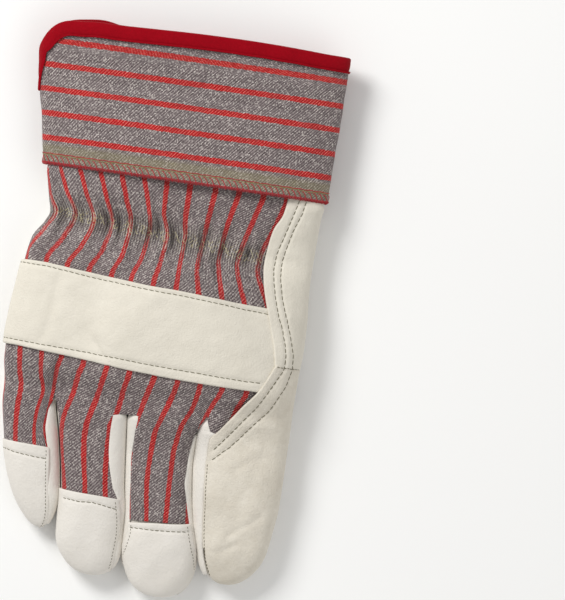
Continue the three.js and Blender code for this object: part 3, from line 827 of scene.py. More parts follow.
# ---------------------------------------------------------------- edges in plan
INDEX_SEAM = line([
    (291.5, 190), (289.5, 200), (285.3, 214.7), (274.7, 231.6), (269.5, 247.4), (265.8, 264.2),
    (265.3, 280),
    (266.8, 295.8), (269.5, 311.6), (272.5, 330), (275.5, 348), (277, 366.7),
])
DIAGONAL = line([(277, 367.8), (261.6, 390.2), (241.2, 410.6), (220.8, 431), (210.6, 441.2)])
PINKY_RIGHT = line([(55.6, 385), (55.4, 391.5), (51.4, 401), (47.4, 411), (45.3, 425), (45.6, 440),
    (47.2, 449.5)])
RING_LEFT = line([(55.6, 385), (55.4, 391.5), (57.3, 400), (58.0, 413), (58.9, 434), (60.5, 460),
    (61.5, 489)])
CROTCH_RIGHT = line([(207.4, 410), (207.4, 413.4), (208.6, 423), (211.5, 434)])
RING_RIGHT = line([(121, 385), (116.5, 405), (112.5, 415.5), (109.5, 432), (108.4, 446),
    (109.2, 469), (112.5, 487), (117.1, 500.6)])
MIDDLE_LEFT = line([(149, 385), (142.5, 405), (139.2, 416), (135.5, 434), (132.3, 450),
    (130.8, 480), (130, 500), (129.3, 523.6)])
MIDDLE_RIGHT = line([(212, 395), (207.4, 413.4), (199, 427), (192.9, 440), (188, 458), (184.6, 479),
    (185.7, 500), (189, 525)])
PINKY_END = line([(-4, 437), (3, 440.5), (20, 443), (47.5, 448.6)])
RING_END = line([(56, 487), (61.2, 488.5), (117.1, 499.4)])
MIDDLE_END = line([(126, 522.5), (160, 523.5), (189, 524.5)])


def x_on(path, y):
    return curve(path[:, 1], path[:, 0], y)


def leather_edge(y):
    """x where the cloth of the back meets the leather of the index side."""
    return np.where(y > DIAGONAL_TOP, x_on(INDEX_SEAM, y), x_on(DIAGONAL, y))


FORK = -106.3  # where the cloth splits into the fingers' strips
FOLD = line([(62, 350), (59, 362), (55, 374), (54.5, 384), (56.5, 391)])


def puckers(x, y, z, warp):
    """How far the gathered cloth stands out from the hand."""
    d = y - elastic_line(x)
    high = smooth(0.35, 0.75, z / THICK)
    w = warp / PITCH
    drift = 0.18 * np.sin(d / 7 + w * 1.7) + 0.1 * np.sin(d / 3.1 + w * 4.1)
    near = np.exp(-((d / 5.0) ** 2))
    wide = np.exp(-((d / 14.0) ** 2))
    fine = np.sin(2 * PI * (w * 2.5 + drift)) * 0.6 + np.sin(2 * PI * (w * 4.3 + 2 * drift) + 1.0) * 0.3
    broad = np.sin(2 * PI * (w * 1.05 + drift) + 0.8) * (0.8 + 0.45 * np.sin(w * 2.3 + 0.6))
    seam = 1 - smooth(-8.0, 1.0, y)  # flat where it goes into the cuff
    strap_free = smooth(-54.0, -47.0, y)
    out = near * fine + wide * broad * 1.6
    # the cloth dips where it goes in under the cuff
    out -= 1.3 * np.exp(-(((y + 1) / 4.0) ** 2)) * smooth(-35, 5, x) * smooth(62, 45, x)
    # folds that run down from the elastic, more on the side of the strap
    out += 0.9 * np.sin(2 * PI * (w * 0.52 + 0.1 * np.sin(d / 9)) + 2.0) * np.exp(-(((d + 12) / 16.0) ** 2))
    calm = smooth(-2.0, 7.0, leather_edge(y) - x)
    out = out * high * (0.35 + 0.65 * seam) * strap_free + 0.3 * wave(x, y, 5, 14) * high
    # the fold that runs up from between the little and ring fingers
    crease = away(x, y, FOLD)
    out -= 1.5 * np.exp(-((crease / 1.5) ** 2)) * smooth(-84, -95, y) * (1 - 0.75 * smooth(-97, -104, y))
    out += 0.45 * np.exp(-(((crease - 3.4) / 1.8) ** 2)) * smooth(-84, -97, y)
    return out * calm - 0.9 * (1 - calm)


COUNTS = {"pinky": 34, "ring": 62, "bridge": 24, "middle": 58, "far": 30}  # columns of the strips


def back_grids():
    """The cloth of the back as grids: strips side by side down to the fork, and a tail for each
    below it. The wrap runs down the pinky's side, the bridge between ring and middle finger."""

    def strip(name, y, left, right):
        x = left + (right - left) * np.linspace(0, 1, COUNTS[name])
        return grid_of(x, y, top(x, y))

    def wrap(y):
        edge = outline("pinky", 0, y) + WRAP
        x, z = side("left", y, edge, seam_height(y), np.linspace(0, 1, 15)[::-1])
        return grid_of(x, y, z)

    def tail(name, rows, ends, left_of, right_of):
        """Its last row lies along the end of the cloth."""
        y = FORK + (ends - FORK) * np.linspace(0, 1, rows)[:, None]
        return strip(name, y, left_of(y), right_of(y))

    def slanted(name, path):
        return np.interp(np.linspace(0, 1, COUNTS[name]), [0, 1], path[[1, -1], 1])

    def on(path):
        return lambda y: x_on(path, y)

    rows = (np.arange(8.0, -48, -0.6), np.arange(-48, -83, -1.3), np.arange(-83, FORK, -0.6))
    y = np.concatenate([*rows, [FORK]])[:, None]
    start = outline("pinky", 0, y) + WRAP
    end = leather_edge(y) + np.where(y > DIAGONAL_TOP, 5.5, 4.0)
    easy = smooth(-75, -104, y)
    bounds = [start]
    shares = ((PINKY_RIGHT, 0.165), (RING_RIGHT, 0.47), (MIDDLE_LEFT, 0.575), (MIDDLE_RIGHT, 0.86))
    for path, share in shares:
        even = start + (end - start) * share
        bounds.append(even * (1 - easy) + x_on(path, np.minimum(y, -104.0)) * easy)
    bounds.append(end)
    parts = {"wrap": wrap(y)}
    for k, name in enumerate(COUNTS):
        parts[name] = strip(name, y, bounds[k], bounds[k + 1])

    t = np.linspace(0, 1, COUNTS["bridge"])
    bridge_ends = -113.2 + 1.2 * t + 1.2 * t * (1 - t)  # nearly straight
    far_shift = x_on(MIDDLE_RIGHT, FORK) - x_on(CROTCH_RIGHT, FORK)
    parts["pinky_tail"] = tail(
        "pinky", 46, slanted("pinky", PINKY_END),
        lambda y: outline("pinky", 0, y) + WRAP, on(PINKY_RIGHT),
    )
    parts["ring_tail"] = tail("ring", 66, slanted("ring", RING_END), on(RING_LEFT), on(RING_RIGHT))
    parts["bridge_tail"] = tail("bridge", 13, bridge_ends, on(RING_RIGHT), on(MIDDLE_LEFT))
    parts["middle_tail"] = tail(
        "middle", 76, slanted("middle", MIDDLE_END), on(MIDDLE_LEFT), on(MIDDLE_RIGHT)
    )
    parts["far_tail"] = tail(
        "far", 16, np.full(COUNTS["far"], -115.6),
        lambda y: x_on(CROTCH_RIGHT, y) + far_shift, lambda y: x_on(DIAGONAL, y) + 4.0,
    )
    parts["wrap_tail"] = wrap(FORK + (PINKY_END[1, 1] - FORK) * np.linspace(0, 1, 46)[:, None])
    return parts


parts = back_grids()


def with_weave(names):
    """Warp and weft places for grids that lie side by side: each row is measured as one."""
    joined = np.concatenate([parts[names[0]]] + [parts[n][:, 1:] for n in names[1:]], axis=1)
    warp = warp_of(joined)
    out, start = {}, 0
    for n in names:
        cols = parts[n].shape[1]
        out[n] = warp[:, start : start + cols]
        start += cols - 1
    return out


warps = with_weave(["wrap", *COUNTS])
warps.update(with_weave(["wrap_tail", "pinky_tail"]))
for n in ("ring_tail", "bridge_tail", "middle_tail", "far_tail"):
    warps.update(with_weave([n]))

cloth_parts = []
for name, grid in parts.items():
    warp = warps[name]
    moved = grid.copy()
    moved[..., 2] += puckers(grid[..., 0], grid[..., 1], grid[..., 2], warp) + 0.35
    if name.startswith("wrap"):
        # the cloth's side stands a little proud of the leather below it
        moved[..., 0] -= 0.35 * smooth(0, 0.5, np.linspace(1, 0, grid.shape[1]))
    cloth_parts.append((moved, np.stack([warp, -grid[..., 1]], -1)))
v, f, t = merged(cloth_parts)
v, f, t = hem(v, facing(v, f), t, 0.9)
back_cloth = keep(make("back_cloth", v, f, cloth, t), "striped_cloth", "back")
# gathers: near places the gold flecks and the painted highlights and shade of the ribs, crest the painted
# shade off the folds' crests, below the painted highlights on the ribs under the elastic
d = v[:, 1] - elastic_line(v[:, 0])
near = np.exp(-((d / 6.0) ** 2))
below = np.exp(-(((d + 9) / 9.0) ** 2))
height = puckers(v[:, 0], v[:, 1], v[:, 2], t[:, 0])
crest = np.clip(0.5 + 0.35 * height, 0, 1)
layer = back_cloth.data.attributes.new("gathers", "FLOAT_VECTOR", "POINT")
layer.data.foreach_set("vector", np.stack([near, crest, below], 1).astype(np.float32).ravel())


# ---------------------------------------------------------------- leather tubes below
def ring_grid(row_of, ys, count, floor, shrink):
    """A tube of sections. Its upper side, which other sheets cover, is drawn in by shrink."""
    angle = np.linspace(0, 2 * PI, count, endpoint=False)[None, :]
    y = ys[:, None]
    x, z, nx, nz = on_ring(row_of(y), angle, floor)
    pull = shrink * smooth(-0.1, 0.5, nz)
    x, z = x - nx * pull, z - nz * pull
    z = z + rise(x, y, z)
    covered = np.minimum(z, np.maximum(top(x, y) - shrink, 5.0))
    return grid_of(x, y, np.where(nz > 0, covered, z))


def finger_tube(name):
    end = ENDS[name]
    tip = end + TIP - TIP * np.sin(np.linspace(0, PI / 2, 26))[1:]
    tip[-1] = end + 0.01
    ys = np.concatenate([np.linspace(-100.0, end + TIP, 50), tip])
    return closed_tube(ring_grid(lambda y: finger_row(name, y), ys, 90, 0.0, 1.0))


palm_ys = np.concatenate([np.linspace(8, -104, 110), [-108.0, -110.5]])
palm_tube = closed_tube(ring_grid(palm_row, palm_ys, 150, 0.5, 1.9))
tubes = {n: finger_tube(n) for n in FINGERS}


def apply(obj, kind, **settings):
    """Puts a modifier's result in place of an object's mesh."""
    modifier = obj.modifiers.new(kind, kind)
    for name, value in settings.items():
        setattr(modifier, name, value)
    evaluated = obj.evaluated_get(bpy.context.evaluated_depsgraph_get())
    mesh, old = bpy.data.meshes.new_from_object(evaluated), obj.data
    obj.modifiers.clear()
    obj.data = mesh
    bpy.data.meshes.remove(old)


def fused(solids, voxel, rounds):
    """One skin round several closed tubes, smoothed where they join."""
    obj = make("palm_work", *gathered(solids), hide)
    apply(obj, "REMESH", mode="VOXEL", voxel_size=voxel * MM, use_smooth_shade=True)
    apply(obj, "SMOOTH", factor=0.5, iterations=rounds)
    verts, faces = vertices_of(obj.data), [list(p.vertices) for p in obj.data.polygons]
    bpy.data.objects.remove(obj)
    return verts, faces


def thin_out(verts, faces, hidden):
    """Leaves out the faces whose corners are all hidden, and the points that no face uses."""
    faces = [f for f in faces if not all(hidden[i] for i in f)]
    used = sorted({i for f in faces for i in f})
    index = {k: i for i, k in enumerate(used)}
    return verts[used], [[index[i] for i in f] for f in faces]


pv, pf = fused([palm_tube, tubes["pinky"], tubes["index"]], 1.0, 6)
raised = lift(pv[:, 0], pv[:, 1]) * 0.7
covered = (pv[:, 1] > -100) & (pv[:, 2] > seam_height(pv[:, 1]) + raised + 3.5)
pv, pf = thin_out(pv, pf, covered)
pv, pf = thin_out(pv, pf, pv[:, 1] > 7.0)  # open towards the cuff
palm_leather = keep(make("palm_leather", pv, pf, pale_hide, pv[:, :2]), "leather", "palm")

for n in ("ring", "middle"):
    v, f = tubes[n]
    keep(make(f"finger_front_{n}", v, f, pale_hide, v[:, :2]), "leather", "finger_fronts")


def thumb_grid():
    flat, rounded = 0.76, 0.72  # shares of its length where its rows close up and its end begins
    shares = flat + (1 - flat) * np.sin(np.linspace(0, PI / 2, 24))[1:]
    shares = np.concatenate([np.linspace(-16 / THUMB_LONG, flat, 40), shares])
    half = curve(THUMB_ROWS[:, 0], THUMB_ROWS[:, 1], shares) * THUMB_WIDE / 2
    past = np.minimum(np.clip((shares - rounded) / (1 - rounded), 0, 1), 0.9995)
    end = half[np.argmax(shares > rounded)] * (1 - past**2.3) ** (1 / 2.3)
    half = np.where(shares > rounded, end, half)
    swell = np.minimum(1, np.maximum(1 - shares, 0.004) / 0.14) ** 0.5
    mid = 0.45 * THUMB_THICK
    over = np.full_like(half, 2.8)
    row = [-half, half, mid - (mid + 1.5) * swell, mid + (THUMB_THICK - mid) * swell, over, over]
    angle = np.linspace(0, 2 * PI, 110, endpoint=False)[None, :]
    x, z, _, _ = on_ring([c[:, None] for c in row], angle, 0.0)
    along = (shares * THUMB_LONG)[:, None]
    px, py = [THUMB_AT[k] + THUMB_ALONG[k] * along + THUMB_ACROSS[k] * x for k in (0, 1)]
    return grid_of(px, py, z)


v, f = closed_tube(thumb_grid())
keep(make("thumb_folded_under", v, f, pale_hide, v[:, :2]), "leather", "thumb")


# ---------------------------------------------------------------- sheets of leather on the back
# the knuckle strap's edges, drawn in by what its turned edges add
STRAP_UP = line([(24.2, 259.4), (48, 263.4), (72, 269.3), (96, 274.7), (120, 279.8), (150, 286.6),
    (182, 292.2), (214, 298.6), (246, 305.2), (268.3, 309.3), (276, 311)])
STRAP_UP[:, 1] -= 0.45
STRAP_LOW = line([(6.3, 342.4), (48, 351.6), (72, 356.6), (96, 362), (120.7, 368.3), (155.2, 375.2),
    (176, 379.1), (202, 383.7), (227.5, 387.7), (255, 392), (262, 393)])
STRAP_LOW[:, 1] += 0.7
STRAP_OFF = 1.95  # how far the strap's upper side lies above the hand


def strap_grid():
    w = np.linspace(0, 1, 62)[:, None]
    t = np.linspace(0, 1, 190)[None, :]

    def y_at(x):
        """y of the rows, which run evenly from the upper edge to the lower."""
        high, low = [np.interp(x, edge[:, 0], edge[:, 1]) for edge in (STRAP_UP, STRAP_LOW)]
        return high + (low - high) * w

    right = np.full_like(w, 48.0)
    for _ in range(6):  # settles where the rows go in under the leather of the index side
        right = leather_edge(y_at(right)) + 3.4
    left = palm_row(y_at(np.full_like(w, -63.0)))[0] + WRAP
    x = left + (right - left) * t
    y = y_at(x)
    wy = y[:, :1]
    share = np.linspace(1, 0, 17)[None, :-1]
    wx, wz = side("left", wy, palm_row(wy)[0] + WRAP, seam_height(wy), share, STRAP_OFF)
    return np.concatenate([grid_of(wx, wy, wz), grid_of(x, y, top(x, y) + STRAP_OFF)], axis=1)


strap = strap_grid()
strap_stitch_up = smooth_line(line([
    (20, 261.6), (47.8, 266.2), (71.8, 272.2), (95.7, 278.2), (119.6, 283.4), (150, 290),
    (182, 295.8), (214, 302.6), (246, 309.9), (272, 315),
]))
strap_stitch_low = smooth_line(line([
    (3, 337), (47.8, 345.2), (71.8, 349.2), (95.7, 353.8), (119.6, 358.4), (150, 364.4),
    (176, 369.3), (202, 373.6), (227.5, 378.2), (246.4, 381.3), (264, 383.2),
]))
STRAP_CREASE = smooth_line(line([(60, 276), (55, 300), (50, 320), (43, 338)]))
strap[..., 2] += groove(strap, strap_stitch_up[::3]) + groove(strap, strap_stitch_low[::3])
strap[..., 2] += groove(strap, STRAP_CREASE, 0.7, 2.6)
strap[..., 2] += 0.35 * wave(strap[..., 0], strap[..., 1], 11, 38)
strap[..., 2] += 0.12 * wave(strap[..., 0], strap[..., 1], 12, 12)
keep(sheet("knuckle_strap_leather", strap, hide, 1.5), "leather", "knuckle_strap")


# the leather of the index side, above and below the seam across it
def side_sheet(y_rows, left_of, cols, wrap_cols, off_of, low, edge=7.0):
    """A sheet from a line on the back, over the index side and down it."""
    y = y_rows[:, None]
    off = off_of(y)
    right, left = outline("index", 1, y), left_of(y)
    edge_x = np.maximum(right - edge, left + (right - left) * 0.55)
    x = left + (edge_x - left) * np.linspace(0, 1, cols)[None, :]
    z = top(x, y) + off
    share = np.linspace(0, 1, wrap_cols + 1)[None, 1:]
    side_off = np.minimum(off, 1.2)
    wx, wz = side("right", y, edge_x, low, share, side_off)
    start_x, start_z = side("right", y, edge_x, low, np.zeros((1, 1)), side_off)
    meet = (1 - share) ** 4
    wx = wx + (edge_x - start_x) * meet
    wz = wz + (z[:, -1:] - start_z) * meet
    return np.concatenate([grid_of(x, y, z), grid_of(wx, y, wz)], axis=1)


CROSS = line([(277, 366.7), (300.4, 369.8)])
cross_y = CROSS[:, 1].mean()
SEAM_1 = line([
    (303, 190), (299, 202), (291.6, 220), (285.3, 234.7), (276.8, 253.7), (273.7, 269.5),
    (274.2, 285.3), (275.8, 301),
    (278.8, 316.8), (282.5, 330), (285, 345), (286, 357.6), (284, 369.8), (269.8, 390.2),
    (257.6, 406.5), (237.1, 427), (222.9, 441.2), (210.6, 452.4),
])
SEAM_2 = line([
    (310, 190), (306.3, 202), (302, 214.7), (293.7, 230.5), (285.3, 251.6), (281.6, 264.2),
    (280.5, 280), (282.6, 301),
    (286.5, 318), (290, 335), (293.3, 355.5), (292.2, 369.8), (286.1, 386.1), (269.8, 410.6),
    (253.5, 424.9), (231, 446.3), (220.8, 453.5), (208.6, 462.7),
])
seam_1, seam_2 = smooth_line(SEAM_1), smooth_line(SEAM_2)

wing = side_sheet(
    np.arange(1.5, cross_y - 0.01, -0.7), lambda y: x_on(INDEX_SEAM, y), 58, 40,
    lambda y: 1.9 + 1.1 * smooth(-46, -58, y) - 1.5 * smooth(-7, 0, y), 4.0,
)
for path in (seam_1, seam_2):
    wing[..., 2] += groove(wing, path[::3], 0.4)
wing[..., 2] += 0.35 * wave(wing[..., 0], wing[..., 1], 21, 30) * smooth(2, -8, wing[..., 1])
keep(sheet("thumb_wing_leather", wing, hide, 1.4), "leather", "thumb")

INDEX_LEFT = line([
    (277, 366.7), (261.6, 390.2), (241.2, 410.6), (220.8, 431), (210.6, 441.2), (208.4, 452),
    (206.5, 463.7), (204.9, 485), (204.1, 504.5),
    (203.2, 522), (202.9, 535), (203.5, 555.5), (206.5, 570), (210.6, 582), (214, 588),
])
tip_end = ENDS["index"]
tip_rows = tip_end + 16 - 15.9 * np.sin(np.linspace(0, PI / 2, 30))
index_rows = np.concatenate([np.arange(cross_y + 0.6, tip_end + 16, -0.7), tip_rows])


def index_left(y):
    row = root_row("index", y)
    x = x_on(INDEX_LEFT, y)
    return np.where(y > -170, x, np.maximum(x, row[0] + 0.12 * (row[1] - row[0])))


index_top = side_sheet(
    index_rows, index_left, 80, 34, lambda y: 1.0 + 2.2 * (1 - smooth(-97, -119, y)), 7.5, 6.0
)
for path in (seam_1, seam_2):
    index_top[..., 2] += groove(index_top, path[::3], 0.4)
INDEX_CREASES = (
    ([(229, 535), (244, 527.5), (260, 518)], 0.5),
    ([(214, 553), (224, 551), (236, 545)], 0.35),
    ([(236, 470), (247, 462), (262, 458)], 0.3),
)
for crease, deep in INDEX_CREASES:
    index_top[..., 2] += groove(index_top, smooth_line(line(crease)), deep, 1.7)
x, y = index_top[..., 0], index_top[..., 1]
waves = 0.45 * wave(x, y, 31, 26) + 0.15 * wave(x, y, 32, 9)
index_top[..., 2] += waves * smooth(tip_end, tip_end + 14, y)
keep(sheet("index_leather", index_top, split_hide, 1.3), "leather", "palm")


# --------------------------------------------- leather fingertips and strips between the fingers
def finger_sheet(name, y, a_of, b_of, cols, off):
    """A sheet on one finger between two angles, for rows of y that may slant."""
    y = np.broadcast_to(y, (len(y), cols))
    row = finger_row(name, y)
    a, b = a_of(y, row), b_of(y, row)
    x, z, nx, nz = on_ring(row, a + (b - a) * np.linspace(0, 1, cols)[None, :], 0.0)
    return grid_of(x + nx * off, y, z + nz * off + rise(x, y, z))


def at_x(path):
    return lambda y, row: ring_angle(row, x_on(path, y))


def fixed(value):
    return lambda y, row: np.full_like(y, value)


CAP_SEAMS = {
    "pinky": line([(47.5, 440), (47.5, 448.6), (46.7, 486.8), (46.7, 510), (45, 520), (41.3, 526.6)]),
    "ring": line([(114, 488), (117.1, 500.6), (118.3, 520), (117.9, 532.8), (112.5, 560.3), (109.4, 569.5)]),
    "middle": line([(188, 512), (189, 525.1), (190.6, 537.4), (195.2, 560.3), (195.5, 572), (190, 585)]),
}
CAP_TOPS = {
    "pinky": line([(-6, 438.5), (3, 440.2), (47.5, 448.6), (60, 451)]),
    "ring": line([(55, 488.6), (61.2, 489.9), (117.1, 500.6), (125, 502)]),
    "middle": line([(122, 523), (129.3, 523.6), (189, 525.1), (200, 525.4)]),
}
CAP_STITCH = {
    "pinky": [(-1, 446.6), (3, 447.8), (13.8, 452), (30, 455.8), (46.5, 459.0)],
    "ring": [(62.5, 497.9), (79.6, 501.8), (91.8, 502.2), (105, 506), (116.5, 510)],
    "middle": [(129, 527.5), (154.6, 530.5), (172, 531.6), (188.6, 532.3)],
}
MIDDLE_CAP_LEFT = line([(130, 510), (129.4, 523), (129, 531), (126, 541), (120.5, 555),
    (117.5, 566)])


def cap_left(y, row):
    """The left edge of the middle fingertip: along the strip beside it, then round the side."""
    angle = ring_angle(row, x_on(MIDDLE_CAP_LEFT, y))
    return angle + (PI + 0.15 - angle) * smooth(-170, -186, y)


caps = ("pinky", "ring", "middle")
for n in caps:
    end, cols, rows = ENDS[n], 84, 96
    tops = CAP_TOPS[n]
    left, right = tops[0][0], CAP_SEAMS[n][1][0]
    y_start = np.interp(left + (right - left) * np.linspace(0, 1, cols), tops[:, 0], tops[:, 1])
    w = np.sin(np.linspace(0, PI / 2, rows)) * 0.35 + np.linspace(0, 1, rows) * 0.65
    y = y_start[None, :] + (end + 0.02 - y_start[None, :]) * (w / w[-1])[:, None]
    off = 1.15 * (1 - 0.55 * smooth(6, 24, y_start[None, :] - y))
    left_of = cap_left if n == "middle" else fixed(PI + (0.5 if n == "pinky" else 0.15))
    grid = finger_sheet(n, y, left_of, at_x(CAP_SEAMS[n]), cols, off)
    grid[..., 2] += groove(grid, smooth_line(line(CAP_STITCH[n]))[::3], 0.4, 0.8)
    bumps = 0.22 * wave(grid[..., 0], grid[..., 1], 40 + len(n), 16)
    grid[..., 2] += bumps * smooth(end, end + 10, grid[..., 1])
    keep(sheet(f"fingertip_{n}", grid, pale_hide, 1.2), "leather", f"tip_{n}")


# strips between the fingers, seen between the cloth and the next finger
def strip_sheet(label, finger, y0, y1, a_of, b_of, bulge, rows=110, cols=16):
    y = np.linspace(y0, y1, rows)[:, None]
    begin = smooth(0, 5.5, y0 - y)  # its upper end lies well below the cloth
    grid = finger_sheet(finger, y, a_of, b_of, cols, 0.35 - 1.7 * (1 - begin))
    n = normals_of(grid)
    if n[rows // 2, cols // 2, 2] < 0:
        n = -n
    rounding = np.sin(PI * np.linspace(0, 1, cols)[None, :]) ** 0.8
    grid = grid + n * (bulge * begin * rounding)[..., None]
    node = "finger_fronts" if finger in ("ring", "middle") else "palm"
    keep(sheet(label, grid, pale_hide, 1.0), "leather", node)


def cloth_then_cap(cloth_edge, cap_edge, nudge):
    """The angle of a strip's edge, which runs on from the cloth's edge along the fingertip's."""
    return at_x(np.concatenate([cloth_edge[:-1], cap_edge[1:]]) + np.array([nudge, 0.0]))


def beside_index(y, row):
    x = np.where(y > -115.6, x_on(CROTCH_RIGHT, y), x_on(INDEX_LEFT, y))
    return ring_angle(row, x - 0.3)


edge = cloth_then_cap(PINKY_RIGHT, CAP_SEAMS["pinky"], 0.25)
strip_sheet("strip_pinky", "pinky", -101.5, ENDS["pinky"] + 2.5, edge, fixed(0.05), 0.5, 90)
edge = cloth_then_cap(RING_RIGHT, CAP_SEAMS["ring"], 0.25)
strip_sheet("strip_ring", "ring", -109.0, ENDS["ring"] + 3, edge, fixed(0.05), 0.6)
edge = cloth_then_cap(MIDDLE_LEFT, MIDDLE_CAP_LEFT, -0.25)
strip_sheet("strip_middle_inner", "middle", -109.0, -183.0, fixed(PI - 0.05), edge, 0.45)
edge = cloth_then_cap(MIDDLE_RIGHT, CAP_SEAMS["middle"], 0.25)
strip_sheet("strip_middle_outer", "middle", -107.5, ENDS["middle"] + 3, edge, fixed(0.05), 0.5)
strip_sheet(
    "strip_index", "index", -107.5, ENDS["index"] + 4, fixed(PI - 0.02), beside_index, 0.9
)


# ---------------------------------------------------------------- the cuff
CUFF_H, HALF_CUFF, CUFF_LIFT, CUFF_THICK = 69.5, 67.75, 1.8, 27.0
# Sections of the cuff: the share of its height, left and right as shares of half its width, and
# the share of its thickness.
CUFF_ROWS = np.array([
    [0.0, -1.012, 1.008, 1.0], [0.25, -1.05, 1.014, 0.99], [0.5, -1.094, 1.018, 0.97],
    [0.62, -1.112, 1.02, 0.975],
    [0.75, -1.127, 1.022, 0.98], [1.0, -1.15, 1.027, 1.0],
])
CORNER = 17.0  # radius of the rounded corner
SLIT_X = -1.13 * HALF_CUFF
SLIT_Y = 33.5  # where the slit ends


def cuff_row(y):
    up = y / CUFF_H
    left = curve(CUFF_ROWS[:, 0], CUFF_ROWS[:, 1], up) * HALF_CUFF
    right = curve(CUFF_ROWS[:, 0], CUFF_ROWS[:, 2], up) * HALF_CUFF
    high = curve(CUFF_ROWS[:, 0], CUFF_ROWS[:, 3], up) * CUFF_THICK
    one = np.ones_like(left)
    return [left, right, CUFF_LIFT * one, CUFF_LIFT + high, 1.9 * one, 1.9 * one]


def rim_wave(x):
    return 0.9 * np.sin((x + 22) / 26) * smooth(-60, -35, x) * (1 - smooth(50, 66, x))


def cuff_point(y, angle):
    """Points of the cuff's outer side, with their normals."""
    x, z, nx, nz = on_ring(cuff_row(y), angle, -99)
    return np.stack([x, np.broadcast_to(y, x.shape), z], -1), np.stack([nx, 0 * nx, nz], -1)


def cuff_left(y):
    """x of the upper layer's free edge at each height."""
    row = cuff_row(y)
    below_corner = np.maximum(row[0], SLIT_X)
    up = np.clip(y - (CUFF_H - CORNER), 0, CORNER)
    corner = SLIT_X + CORNER - np.sqrt(np.maximum(CORNER**2 - up**2, 0))
    return np.maximum(below_corner, np.where(y > CUFF_H - CORNER, corner, -99))


def cuff_grid(cols=330, rows=76, corner_rows=40):
    """The cuff's outer side from one edge of the slit round to the other, with its normals."""
    straight = np.linspace(0, CUFF_H - CORNER, rows, endpoint=False)
    corner = CUFF_H - CORNER + CORNER * np.sin(np.linspace(0, PI / 2, corner_rows))
    ys = np.concatenate([straight, corner])
    y = ys[:, None]
    gap = 0.03 * smooth(SLIT_Y, SLIT_Y + 8, y)
    edge = np.minimum(ring_angle(cuff_row(y), cuff_left(y)), PI - gap)
    angle = edge * np.linspace(-1, 1, cols)[None, :]
    grid, normal = cuff_point(y, angle)
    x = grid[..., 0]
    lift_rim = (rim_wave(x) - 0.7) * smooth(30, 69, y)
    # the under layer's rim shows above the upper one near the open corner
    behind = np.where(angle < 0, np.exp(-(((x + 49) / 9) ** 2)), 0) * smooth(45, 69, y)
    dip = np.where(angle > 0, np.exp(-(((x + 60) / 7) ** 2)), 0) * smooth(50, 69, y)
    grid[..., 1] += lift_rim + 2.0 * behind - 1.1 * dip
    return grid, ys, normal


def cuff_bends(x, y, z):
    """Slight sag and waves of the cloth of the cuff."""
    # the lower edge stands off the back a little, more in its middle
    gape = 2.4 * np.exp(-((y / 7.0) ** 2)) * smooth(-32, 5, x) * smooth(64, 42, x)
    return 0.55 * wave(x, y, 51, 45) + 0.2 * wave(x, y, 52, 15) + gape * smooth(16, 20, z)


CUFF_CLOTH = 1.7  # thickness
cuff_out, cuff_ys, n_out = cuff_grid()
cuff_out = cuff_out + n_out * cuff_bends(*np.moveaxis(cuff_out, -1, 0))[..., None]
cuff_in = cuff_out - n_out * CUFF_CLOTH
rows, cols = cuff_out.shape[:2]
along = lengths(cuff_out[rows // 2])
uv = np.stack(np.broadcast_arrays(cuff_out[..., 1] - 11.9, along[None, :]), -1).reshape(-1, 2)
verts = np.concatenate([cuff_out.reshape(-1, 3), cuff_in.reshape(-1, 3)])
outer = np.array(grid_faces(rows, cols))
inner = outer[:, ::-1] + rows * cols
ids = np.arange(rows * cols).reshape(rows, cols)
a = np.concatenate([ids[0], ids[1:, -1], ids[-1, -2::-1], ids[-2:0:-1, 0]])  # all round the edge
b = np.roll(a, -1)
rim_faces = np.stack([a + rows * cols, b + rows * cols, b, a], 1)
faces = np.concatenate([outer, inner, rim_faces]).tolist()
uvs = np.concatenate([uv, uv])
keep(make("cuff_cloth", verts, faces, cuff_cloth, uvs), "striped_cloth", "cuff")

# the binding along the rim: up one side of the slit, round, and down the other
TAPE, TAPE_HIGH = 6.4, 1.55  # its width on each side, and how far it stands from the cuff's middle
start_row = int(np.searchsorted(cuff_ys, SLIT_Y))
path = np.concatenate([ids[start_row:, -1], ids[-1, -2::-1], ids[-2 : start_row - 1 : -1, 0]])
mid = ((cuff_out + cuff_in) / 2).reshape(-1, 3)[path]
run = lengths(mid)
even = np.linspace(0, run[-1], int(run[-1] / 0.9))
rim = between(run, mid, even)
rim_n = unit(blurred(between(run, n_out.reshape(-1, 3)[path], even), 3))
tangent = blurred(unit(np.gradient(rim, axis=0)), 6)
inward = unit(np.cross(rim_n, tangent))
if np.sum(inward * (np.array([0.0, 20.0, 15.0]) - rim)) < 0:
    inward = -inward
flat_side = [(d, TAPE_HIGH + 0.25 * math.sin(PI * (TAPE - d) / TAPE)) for d in np.linspace(TAPE, 0.4, 9)]
turned = [(0.1 - 0.75 * math.cos(a), TAPE_HIGH * math.sin(a)) for a in np.radians(np.linspace(75, -75, 9))]
profile = flat_side + turned + [(d, -n) for d, n in flat_side[::-1]]
cuff_tree = BVHTree.FromPolygons([Vector(p) for p in cuff_out.reshape(-1, 3)], outer.tolist())
band = np.zeros((len(rim), len(profile), 3))
taper = 0.12 + 0.88 * smooth(SLIT_Y, SLIT_Y + 21, rim[:, 1])  # the binding runs out along the slit
for k, (d, n) in enumerate(profile):
    flat = rim + inward * (d * (taper[:, None] if d > 0 else 0.35 + 0.65 * taper[:, None]))
    for r in range(len(rim)):
        high = n * (0.62 + 0.38 * taper[r])
        hit = cuff_tree.find_nearest(Vector(flat[r]), 12)
        p, m = np.array(hit[0]), np.array(hit[1])
        if np.dot(m, rim_n[r]) < 0:
            m = -m
        band[r, k] = p + m * (high - CUFF_CLOTH / 2) if d > 0.8 else flat[r] + rim_n[r] * high
band = blurred(band, 4)
across = np.arange(len(profile)) * 0.8
buv = np.stack(np.broadcast_arrays(lengths(rim)[:, None], across[None, :]), -1).reshape(-1, 2)
bv, bf, bt = hem(band.reshape(-1, 3), grid_faces(*band.shape[:2]), buv, 0.7, 0.8)
